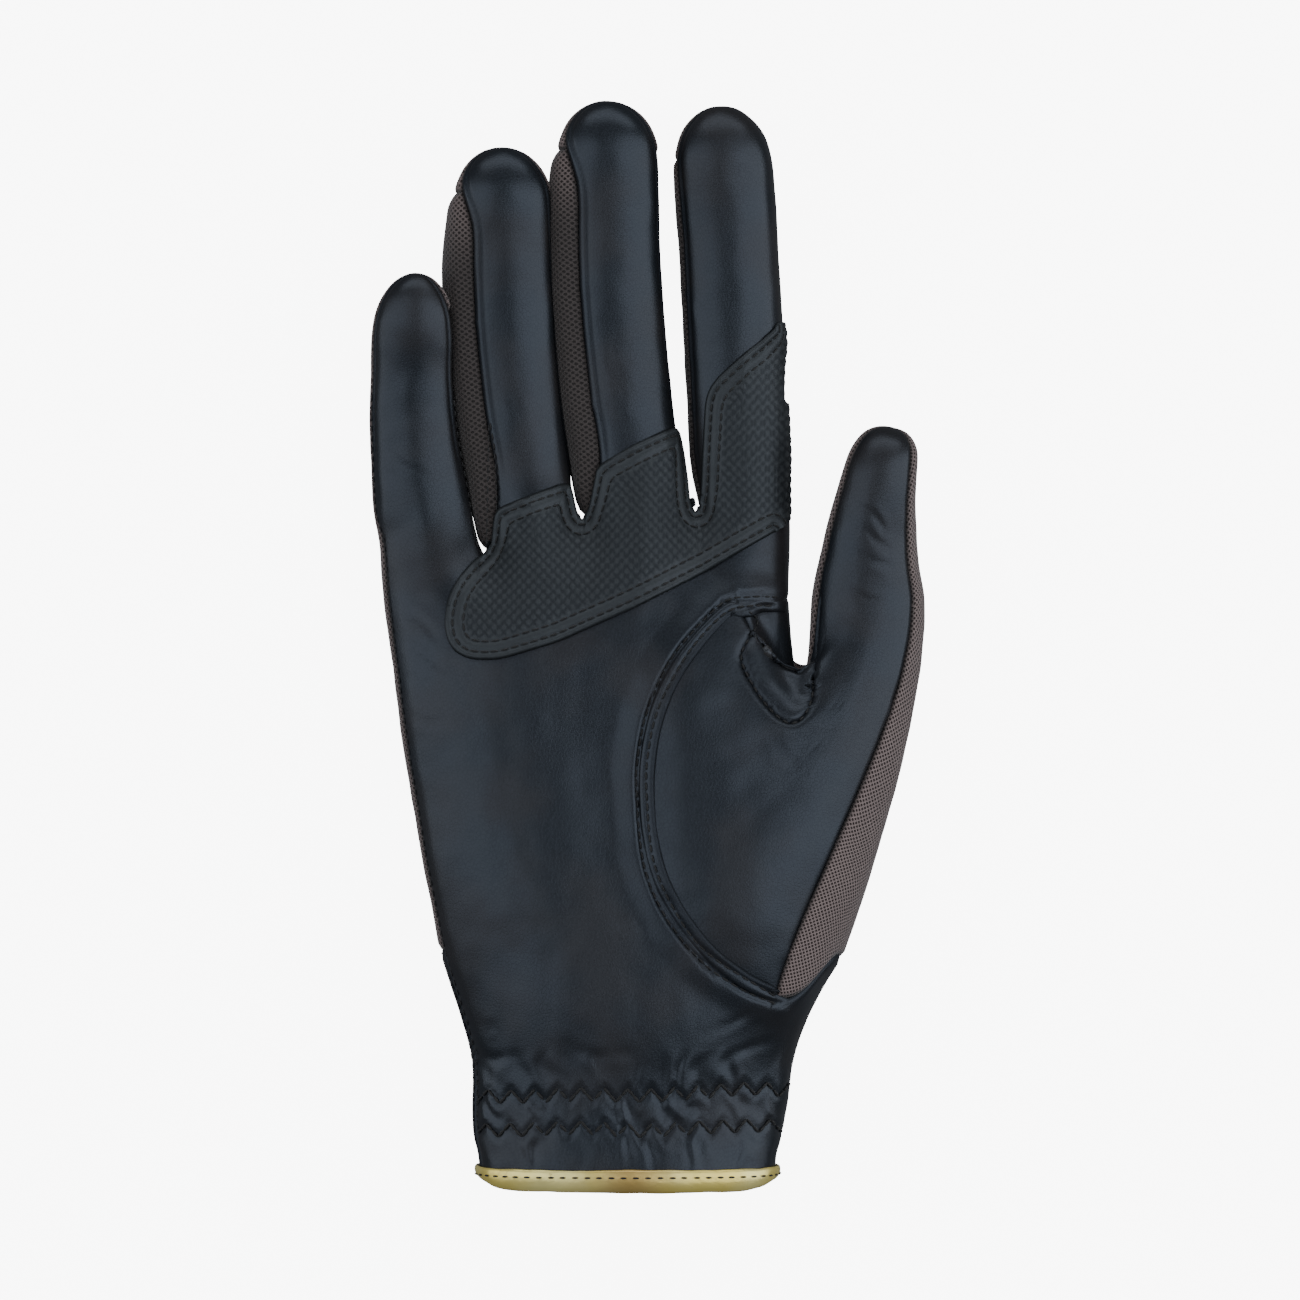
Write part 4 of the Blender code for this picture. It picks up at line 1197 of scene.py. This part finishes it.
# %% Rows on the palm
skin = surface_of(palm_skin, thumb_skin, gusset_skin)
sew("lap_stitches", [dropped(row, skin) for row in lap_rows])
sew("gusset_stitches", [dropped(crotch_seam, skin)], pitch=0.0019, length=0.0014)
legs = []
for line in zigzags:
    for a, b in zip(line[:-1], line[1:]):
        legs.append(dropped(even_steps([a, b], 0.0003), skin))
sew("zigzag_stitches", legs, pitch=0.0019, length=0.0022, thick=0.00060)

# %% [markdown]
# A row beside an edge is a contour: the line on the sheet where the distance from the edge passes
# the inset. Each face that the line crosses gives one short piece of it, and the pieces are chained.


# %% Rows beside an edge
def contour(piece, level, keep=lambda spot: True):
    """Rows on a sheet at that distance from its edge."""
    values = gaps[piece.name] - level
    bm = bmesh.new()
    bm.from_mesh(piece.data)
    bm.normal_update()
    bm.verts.index_update()
    links = {}
    for face in bm.faces:
        cut = [e for e in face.edges if values[e.verts[0].index] * values[e.verts[1].index] < 0]
        if len(cut) == 2:
            links.setdefault(cut[0], []).append(cut[1])
            links.setdefault(cut[1], []).append(cut[0])
    todo = dict.fromkeys(sorted(links, key=lambda e: (len(links[e]), e.index)))
    rows = []
    while todo:
        edge = next(iter(todo))
        row = []
        while edge is not None:
            del todo[edge]
            a, b = edge.verts
            share = values[a.index] / (values[a.index] - values[b.index])
            row.append((a.co.lerp(b.co, share), a.normal.lerp(b.normal, share)))
            edge = next((e for e in links[edge] if e in todo), None)
        kept = [pair for pair in row if keep(pair[0])]
        if len(kept) > 8:
            rows.append(calmed(kept))
    bm.free()
    return rows


def calmed(row, reach=4):
    """The row with its small zigs and zags averaged out."""
    line = np.array([[*spot, *normal] for spot, normal in row])
    calm = [line[max(0, i - reach): i + reach + 1].mean(axis=0) for i in range(len(line))]
    return [(Vector(c[:3]), Vector(c[3:])) for c in calm[::2]]


def on_little_side(spot):
    """Down the little finger's side the rows show, elsewhere they are rolled under."""
    return HEM_TOP < spot.y < 0.085 and spot.x < -0.018


sew("patch_stitches", [row for inset in ROWS_IN for row in contour(patch_skin, inset)])
sew("palm_edge_stitches", contour(palm_skin, 0.0011, on_little_side), length=0.0015, thick=FINE_THREAD)
sew("cuff_edge_stitches", contour(cuff_back_skin, 0.0011, on_little_side),
    length=0.0015, thick=FINE_THREAD)

# %% [markdown]
# The binding has one row of its own, close to its upper edge, all the way round. It is found by
# walking round the ring and looking at it from outside.

# %% Row on the binding
ROW_HEIGHT = -0.0848
ROW_STEPS = 720
low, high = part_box("hem_binding")
ring_middle = (low + high) / 2
ring = surface_of(binding)
round_row = []
for i in range(ROW_STEPS + 1):
    angle = 2 * math.pi * i / ROW_STEPS
    out = Vector((math.cos(angle), 0, math.sin(angle)))
    start = Vector((ring_middle.x, ROW_HEIGHT, ring_middle.z)) + out * 0.1
    spot, normal, _, _ = ring.ray_cast(start, -out)
    if spot:
        round_row.append((spot, normal))
sew("binding_stitches", [round_row], pitch=0.0026, length=0.0014, thick=0.0004, slot="gold")

# %% [markdown]
# The glove lies on its back, and cloth that lies on a table is flat there. So the walls are made
# real now, and no point of them stays below the floor.

# %% Lay it down
FLOOR_HEIGHT = 0.0
for piece in dressed:
    rough = piece.data
    piece.data = result_of(piece)
    piece.modifiers.clear()
    piece.data.name = piece.name
    bpy.data.meshes.remove(rough)
    spots = spots_of(piece.data)[0]
    below = spots[:, 2] < FLOOR_HEIGHT
    spots[below, 2] = FLOOR_HEIGHT
    move_to(piece.data, spots)
    print(f"{piece.name}: {below.sum()} points laid on the floor")

# %% [markdown]
# ## Camera, floor and light
# The camera looks straight down through a long lens, so the fingers keep their true lengths. Two
# large soft lamps stand left and right: each rounded finger then has two pale bands and a dark
# middle, which is what tells the eye that this leather is smooth. A third, weaker one stands beyond
# the fingertips and rounds them.

# %% Camera
LENS = 200
SENSOR = 36
GLOVE_MIDDLE = 0.012
camera = bpy.data.objects.new("camera", bpy.data.cameras.new("camera"))
bpy.context.scene.collection.objects.link(camera)
camera.data.lens = LENS
camera.data.sensor_width = SENSOR
camera.data.clip_end = 10
camera.location = (*PICTURE_CENTRE, GLOVE_MIDDLE + PICTURE_WIDTH * LENS / SENSOR)
bpy.context.scene.camera = camera
print(f"camera {camera.location.z:.3f} m up")

# %% Floor and lamps
floor_finish = Finish("pale_floor")
floor_finish.surface(
    Base_Color=tone(0.90, 0.90, 0.90), Roughness=0.9, Specular_IOR_Level=0.1,
    Emission_Color=tone(1, 1, 1), Emission_Strength=8.0,
)
bm = bmesh.new()
under = Matrix.Translation((0, 0, cad_bounds[0][2] - 0.0002))
bmesh.ops.create_grid(bm, x_segments=1, y_segments=1, size=3.0, matrix=under)
mesh = bpy.data.meshes.new("floor")
bm.to_mesh(mesh)
bm.free()
mesh.materials.append(floor_finish.material)
floor = bpy.data.objects.new("floor", mesh)
bpy.context.scene.collection.objects.link(floor)
floor.visible_diffuse = False
floor.visible_glossy = False


LIT_PLACE = Vector((0.0, 0.03, 0.0))
COOL = (0.95, 0.97, 1.0)


def lamp(name, place, size, power, colour=(1, 1, 1)):
    light = bpy.data.lights.new(name, "AREA")
    light.shape = "RECTANGLE"
    light.size, light.size_y = size
    light.energy = power
    light.color = colour
    holder = bpy.data.objects.new(name, light)
    holder.location = place
    way = LIT_PLACE - Vector(place)
    holder.rotation_euler = way.to_track_quat("-Z", "Y").to_euler()
    bpy.context.scene.collection.objects.link(holder)


lamp("left_softbox", (-1.00, 0.05, 0.75), (0.75, 2.4), 9, COOL)
lamp("right_softbox", (0.97, 0.05, 0.80), (0.85, 2.4), 13, COOL)
lamp("far_softbox", (0.05, 1.10, 0.75), (2.0, 0.6), 7)
world = bpy.data.worlds.new("studio")
world.use_nodes = True
world.node_tree.nodes["Background"].inputs["Color"].default_value = tone(0.9, 0.93, 1.0)
world.node_tree.nodes["Background"].inputs["Strength"].default_value = 0.15
bpy.context.scene.world = world
